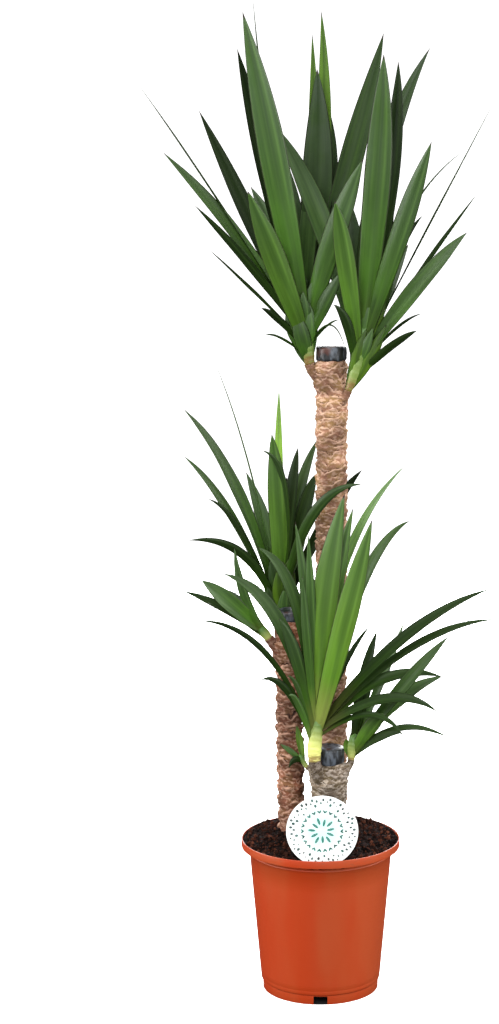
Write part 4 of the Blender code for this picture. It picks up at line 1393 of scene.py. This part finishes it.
@dataclass
class Studio:
    """The photograph's viewpoint, a plain pale sweep and soft lights. Lengths are in metres."""

    pitch: float = math.radians(10.64)
    focal_pixels: float = 2673.47
    frame_height: int = 1024
    axis_column: float = 320.5
    middle_column: float = 249.5
    sensor: float = 36.0
    far_clip: float = 60.0
    pot_shade: tuple[float, float] = (0.086, 0.0885)
    floor_reach: float = 13.0
    floor_bend: float = 2.0
    bend_steps: int = 12
    wall_top: float = 9.0
    sides: int = 72
    air: tuple[float, float, float, float] = (-0.3, 0.8, 0.03, 0.6)
    lights: tuple[SoftLight, ...] = (
        SoftLight("key light", (-1.3, -3.2, 2.6), 0.75, 1.6, 142.0),
        SoftLight("fill light", (2.4, -2.8, 1.8), 0.75, 1.6, 70.0),
        SoftLight("front light", (0.4, -3.7, 0.8), 0.4, 1.0, 44.0),
        SoftLight("left light", (-3.0, -0.8, 1.0), 0.4, 1.6, 70.0),
        SoftLight("right light", (3.0, -0.8, 1.0), 0.4, 1.6, 45.0),
        SoftLight("upper left light", (-2.7, 0.2, 1.8), 1.0, 1.6, 66.0),
        SoftLight("upper right light", (2.7, 0.2, 1.8), 1.0, 1.6, 66.0),
        SoftLight("back light", (0.3, 3.2, 1.3), 1.1, 2.0, 180.0),
        SoftLight("top light", (0.2, 0.6, 3.6), 0.75, 1.6, 50.0),
    )

    def camera(self) -> None:
        """Stand the camera where the photograph was taken."""
        data = bpy.data.cameras.new("camera")
        data.sensor_width = self.sensor
        data.lens = self.sensor * self.focal_pixels / self.frame_height
        data.shift_x = (self.middle_column - self.axis_column) / self.frame_height
        data.clip_end = self.far_clip
        made = bpy.data.objects.new("camera", data)
        made.location = SIGHT
        made.rotation_euler = (TURN / 4 - self.pitch, 0.0, 0.0)
        bpy.context.scene.collection.objects.link(made)
        bpy.context.scene.camera = made

    def white(self) -> bpy.types.Material:
        """Make the floor's material: it glows white, but for the shade under the pot."""
        bench = Bench("studio white")
        glow = bench.distance().span(*self.pot_shade)
        white = bench.mix(bench.noise(3.0, 2.0), "f4f4f3", "f8f8f8")
        bench.feed(bench.shader.inputs, Emission_Color="ffffff", Emission_Strength=glow)
        return bench.finish(white.lit(glow), 0.9)

    def sweep(self) -> None:
        """Lay the round floor and run it up into a wall far away on all sides."""
        reach, bend = self.floor_reach, self.floor_bend
        angles = (TURN / 4 * i / self.bend_steps for i in range(self.bend_steps + 1))
        outline = [(0.0, 0.0), (0.2, 0.0), (2.0, 0.0)]
        outline += [(reach + bend * math.sin(a), bend - bend * math.cos(a)) for a in angles]
        outline.append((reach + bend, self.wall_top))
        floor = placed("studio_sweep", turned(outline, self.sides), [self.white()])
        floor.data.shade_smooth()
        floor.visible_diffuse = floor.visible_glossy = floor.visible_shadow = False

    def world(self) -> None:
        """Fill the room with soft light, strong from above and weak from below."""
        world = bpy.data.worlds.new("studio air")
        world.use_nodes = True
        tree = world.node_tree
        height = tree.nodes.new("ShaderNodeSeparateXYZ")
        strength = tree.nodes.new("ShaderNodeMapRange")
        tree.links.new(tree.nodes.new("ShaderNodeTexCoord").outputs["Generated"], height.inputs[0])
        tree.links.new(height.outputs["Z"], strength.inputs["Value"])
        for name, value in zip(("From Min", "From Max", "To Min", "To Max"), self.air):
            strength.inputs[name].default_value = value
        tree.links.new(strength.outputs["Result"], tree.nodes["Background"].inputs["Strength"])
        tree.nodes["Background"].inputs["Color"].default_value = (1.0, 1.0, 1.0, 1.0)
        bpy.context.scene.world = world
        bpy.context.scene.view_settings.view_transform = "Standard"

    def build(self) -> None:
        """Set up the camera, the sweep and the lights."""
        self.camera()
        self.sweep()
        self.world()
        for light in self.lights:
            light.hang()


TALL_LEFT_STEM = ((-15, 957, 22), (-22, 1000, 20), (-24, 1050, 18))
TALL_LEFT_BLADES = (
    Blade((-112, 1468), (-66, 1250), -110, 41, 0.9),
    Blade((-120, 1416), (-76, 1233), 40, 28, 0.9, 0, SHADED),
    Blade((-97, 1489), (-70, 1262), 70, 12, 1.0, 70, DARK),
    Blade((-12, 1438), (-11, 1240), 190, 18, 1.0, 0, OLIVE),
    Blade((1, 1470), (3, 1255), 215, 24, 1.0, 0, OLIVE),
    Blade((-5, 1387), (-5, 1215), 150, 47, 0.95, 0, DUSKY),
    Blade((12, 1330), (4, 1195), 172, 40, 0.9, 10, DARK),
    Blade((91, 1438), (40, 1240), 155, 38, 0.95, 20, DARK),
    Blade((-265, 1368), (-141, 1187), -20, 12, 0.75, 79, DARK),
    Blade((-176, 1328), (-101, 1170), 90, 28, 0.8, -25, SHADED),
    Blade((-229, 1268), (-122, 1148), -30, 26, 0.8, 40, DIM),
    Blade((-184, 1192), (-101, 1101), -50, 20, 0.75, -50, DARK),
    Blade((-106, 1212), (-65, 1108), -120, 35, 0.6, 0, FRESH),
    Blade((-163, 1127), (-96, 1064), -30, 10, 0.6, -60, DARK),
    Blade((-87, 1041), (-60, 1023), -30, 13, 0.45, -35, DARK),
    Blade((-82, 1001), (-56, 996), -10, 8, 0.2, 60, DARK),
    Blade((62, 1258), (19, 1144), -60, 34, 0.95, 10),
    Blade((32, 1094), (6, 1048), -40, 22, 0.65, 20, DIM),
    Blade((38, 974), (14, 1016), -60, 5, 0.5, 60, DARK),
    Blade((29, 1024), (6, 1012), -45, 6, 0.45, 50, DARK),
    Blade((-70, 1280), (-48, 1165), 130, 30, 0.8, 0, SHADED),
)
TALL_RIGHT_STEM = ((40, 917, 8), (56, 966, 8), (66, 1032, 10))
TALL_RIGHT_BLADES = (
    Blade((91, 1408), (82, 1222), -80, 39, 1.0),
    Blade((112, 1398), (99, 1220), -30, 28, 0.95, 0, DARK),
    Blade((158, 1417), (86, 1228), 45, 30, 0.95, 25, DUSKY),
    Blade((161, 1283), (116, 1150), -70, 30, 0.9, 10),
    Blade((207, 1269), (117, 1158), 30, 12, 0.85, 78, DARK),
    Blade((149, 1176), (108, 1108), -10, 14, 0.8, 45, DARK),
    Blade((249, 1337), (158, 1163), 10, 11, 0.8, 79, DARK),
    Blade((227, 1207), (147, 1097), 30, 18, 0.75, -70, DARK),
    Blade((214, 1152), (141, 1073), -60, 28, 0.7, 30, DIM),
    Blade((105, 1079), (93, 1043), -10, 8, 0.7, 40),
    Blade((149, 1033), (106, 1007), -10, 10, 0.5, -62, DARK),
    Blade((142, 1008), (100, 982), -30, 15, 0.3, -35, DARK),
    Blade((-66, 1306), (2, 1166), 50, 33, 0.95, 10, DIM),
    Blade((21, 1197), (37, 1106), -90, 29, 0.85, 0, FRESH),
    Blade((19, 1046), (40, 1014), -40, 15, 0.55, 0, DARK),
    Blade((20, 1084), (42, 1042), 25, 18, 0.7, 0, DARK),
    Blade((84, 1310), (76, 1180), 120, 34, 0.95, 0, SHADED),
    Blade((100, 1250), (88, 1140), 150, 30, 0.8, 0, SHADED),
)
LEFT_LOW_STEM = ((-76, 543, 38), (-83, 552, 37), (-91, 562, 36))
LEFT_LOW_BLADES = (
    Blade((-178, 634), (-133, 598), -50, 27, 0.6, 8),
    Blade((-204, 617), (-142, 590), 5, 16, 0.5, 30, DARK),
    Blade((-170, 600), (-128, 577), -40, 9, 0.4, 50, DARK),
    Blade((-128, 684), (-114, 612), -30, 14, 0.8),
    Blade((-150, 620), (-120, 596), 70, 20, 0.5, 0, DARK),
)
LEFT_UPRIGHT_STEM = ((-60, 560, 75), (-60, 600, 72), (-60, 645, 70))
LEFT_UPRIGHT_BLADES = (
    Blade((-203, 893), (-123, 771), -50, 24, 0.5, 45, DIM),
    Blade((-203, 822), (-133, 733), 0, 18, 0.4, 45, DIM),
    Blade((-168, 757), (-118, 707), -30, 8, 0.35, 0, DARK),
    Blade((-157, 965), (-105, 806), 10, 9, 0.6, 76, DIM),
    Blade((-61, 922), (-62, 778), 20, 14, 0.9, 0, TENDER),
    Blade((-72, 855), (-63, 748), -60, 30, 0.8, 0, FRESH),
    Blade((-88, 830), (-52, 765), -70, 10, 0.7, 0, DIM),
    Blade((-33, 835), (-47, 742), -20, 24, 0.8, -30, DUSKY),
    Blade((-3, 848), (-36, 750), 25, 20, 0.7, -20, DIM),
    Blade((-6, 795), (-28, 728), 15, 22, 0.6, 0, DARK),
    Blade((62, 801), (8, 725), 50, 18, 0.5, 0, SHADED),
    Blade((62, 779), (-14, 729), -95, 16, 0.4, 0, DIM, arch=0.8),
    Blade((-198, 694), (-112, 670), -60, 15, 0.2, -20, DARK),
    Blade((-50, 790), (-55, 705), 90, 28, 0.7, 0, SHADED),
    Blade((-66, 750), (-62, 690), 120, 26, 0.5, 0, SHADED),
)
SHORT_FRONT_STEM = ((-9, 353, -66), (-8, 388, -64), (-1, 432, -60))
SHORT_FRONT_BLADES = (
    Blade((36, 766), (5, 592), -50, 40, 0.9, 0, YOUNG),
    Blade((49, 745), (16, 590), -35, 26, 0.9, 0, FRESH),
    Blade((126, 808), (33, 652), 20, 14, 0.9, 0, FRESH),
    Blade((77, 727), (37, 572), -80, 34, 0.7, 0, YOUNG),
    Blade((133, 724), (62, 630), 25, 24, 0.8, 45, DIM),
    Blade((10, 605), (3, 512), -20, 28, 0.7),
    Blade((-38, 724), (-18, 575), -30, 18, 0.8),
    Blade((-18, 705), (-13, 570), -50, 16, 0.9),
    Blade((-27, 640), (-20, 540), -60, 14, 0.7),
    Blade((-95, 684), (-36, 598), -25, 20, 0.7, 20, DIM),
    Blade((-146, 644), (-60, 567), -20, 24, 0.6, 25, DIM),
    Blade((-62, 575), (-34, 508), -40, 20, 0.55, 10, DIM),
    Blade((-187, 572), (-86, 526), -20, 12, 0.5, -40, DARK),
    Blade((-91, 480), (-50, 464), -10, 12, 0.4, -20, DARK),
    Blade((-50, 487), (-30, 458), -25, 8, 0.35, 0, DIM),
    Blade((-48, 456), (-32, 440), -30, 10, 0.3),
    Blade((255, 621), (124, 546), -20, 20, 0.8, 35, DARK),
    Blade((266, 574), (133, 529), 10, 16, 0.75, 40, DARK),
    Blade((186, 484), (88, 480), 0, 20, 0.7, 30, DARK),
    Blade((177, 430), (96, 452), -60, 16, 0.75, 20, DARK),
    Blade((127, 389), (72, 427), -40, 11, 0.6, 30, DARK),
    Blade((76, 566), (33, 498), 10, 9, 0.6, 0, DARK),
)
SHORT_RIGHT_STEM = ((46, 355, -40), (48, 373, -39), (52, 398, -37))
SHORT_RIGHT_BLADES = (
    Blade((125, 570), (94, 487), 40, 16, 0.9, 35),
    Blade((192, 548), (128, 476), -90, 22, 0.8, 30, DIM),
    Blade((184, 486), (117, 450), 40, 24, 0.7, 30, DIM),
    Blade((97, 428), (76, 408), -40, 22, 0.5, 0, FRESH),
    Blade((193, 391), (118, 406), -20, 12, 0.5, 35, DARK),
    Blade((124, 398), (86, 391), -40, 14, 0.3, 20, DARK),
    Blade((85, 557), (64, 478), 20, 20, 0.9, 30, DARK),
    Blade((80, 508), (66, 458), 15, 20, 0.9, -30, DARK),
)
SHORT_LEFT_STEM = ((-19, 344, -35), (-25, 352, -35), (-31, 364, -35))
SHORT_LEFT_BLADES = (
    Blade((-61, 381), (-44, 369), 2, 9, 0.8, 20, DIM),
    Blade((-36, 410), (-31, 385), 8, 11, 0.9, 0, OLIVE),
    Blade((-48, 343), (-38, 357), -8, 10, 0.7, -20, DARK),
)


def leafy_heads() -> list[LeafyHead]:
    """The heads of the tall, the left and the short cane, with the small shoot last."""
    tall_left = LeafyHead(
        "head_tall_left", TALL_LEFT_STEM, (0.0070, 0.0110, 0.0125, 0.0100), TALL_LEFT_BLADES,
        paleness=0.12, seed=21, clasping=14, far=FarLeaves(),
    )
    tall_right = LeafyHead(
        "head_tall_right", TALL_RIGHT_STEM, (0.0045, 0.0095, 0.0130, 0.0105), TALL_RIGHT_BLADES,
        paleness=0.18, seed=22, clasping=14, far=FarLeaves(toward=84.0, spread=17.0, low=36.0, seed=12),
    )
    left_low = LeafyHead(
        "head_left_low", LEFT_LOW_STEM, (0.0060, 0.0075, 0.0065), LEFT_LOW_BLADES, paleness=0.45, seed=23
    )
    left_upright = LeafyHead(
        "head_left_upright", LEFT_UPRIGHT_STEM, (0.0090, 0.0105, 0.0105, 0.0080), LEFT_UPRIGHT_BLADES,
        paleness=0.2, seed=24, clasping=14,
        far=FarLeaves(count=5, toward=100.0, length=0.24, width_mm=26.0, seed=13),
    )
    short_front = LeafyHead(
        "head_short_front", SHORT_FRONT_STEM, (0.0090, 0.0105, 0.0100, 0.0080), SHORT_FRONT_BLADES,
        paleness=1.0, seed=25, low_roots=0.85,
    )
    short_right = LeafyHead(
        "head_short_right", SHORT_RIGHT_STEM, (0.0045, 0.0065, 0.0080, 0.0070), SHORT_RIGHT_BLADES,
        paleness=0.5, seed=26, clasping=4,
    )
    short_left = LeafyHead(
        "shoot_short_left", SHORT_LEFT_STEM, (0.0035, 0.0035, 0.0040, 0.0035), SHORT_LEFT_BLADES,
        paleness=0.4, seed=27,
    )
    return [tall_left, tall_right, left_low, left_upright, short_front, short_right, short_left]


def bark_canes() -> list[Cane]:
    """The three canes, tall, left and short."""
    tall = Cane(
        "cane_tall", "bark_pale", BarkFinish("pale bark", "8b644f", "cca993", "8b6c47", "321c13"),
        centre=(0.0163, 0.030), radius=0.0236, top=0.980, pitch=0.024, neck=(0.0205, 0.022),
        collars=[((6, 932, 26), TALL_LEFT_STEM, 0.0078), ((27, 893, 20), TALL_RIGHT_STEM, 0.0055)],
        seed=1.7, lower_shade=0.45,
    )
    left = Cane(
        "cane_left", "bark_brown", BarkFinish("brown bark", "7b4c38", "c49c86", "6b4a30", "24130e"),
        centre=(-0.0440, 0.045), radius=0.0205, top=0.577, pitch=0.022, neck=(0.018, 0.016),
        collars=[((-58, 516, 42), LEFT_LOW_STEM, 0.0070), ((-54, 518, 60), LEFT_UPRIGHT_STEM, 0.0090)],
        seed=5.1, lean=-0.0015, bow=-0.0025, scale=0.0135, arcs=4, lift=0.0019, ridge=0.0036,
    )
    front_collar = ((0, 326, -52), SHORT_FRONT_STEM, 0.0090)
    side_collars = [((31, 336, -38), SHORT_RIGHT_STEM, 0.0050), ((-8, 334, -35), SHORT_LEFT_STEM, 0.0035)]
    short = Cane(
        "cane_short", "bark_grey", BarkFinish("grey bark", "645648", "b6a99b", "60523c", "241a14"),
        centre=(0.0127, -0.035), radius=0.0268, top=0.3848, pitch=0.018, neck=(0.0208, 0.0245),
        collars=[front_collar, *side_collars], seed=9.3, scale=0.0080, arcs=9, waver=1.5,
    )
    return [tall, left, short]


def main() -> None:
    """Build the studio and the plant, piece by piece, and note the sizes."""
    logging.basicConfig(level=logging.INFO)
    Studio().build()
    pot = NurseryPot()
    pot.build()
    canes = bark_canes()
    PottingSoil(canes, pot).build()
    PlantLabel().build()
    for cane in canes:
        cane.build()
    wax = WaxFinish().make()
    for node, seed in (("wax_tall", 1.0), ("wax_left", 4.0), ("wax_short", 7.0)):
        WaxCap(node, seed).build(wax)
    looks = [LeafFinish().make(), StemFinish().make()]
    for head in leafy_heads():
        head.build(looks)


if __name__ == "__main__":
    main()
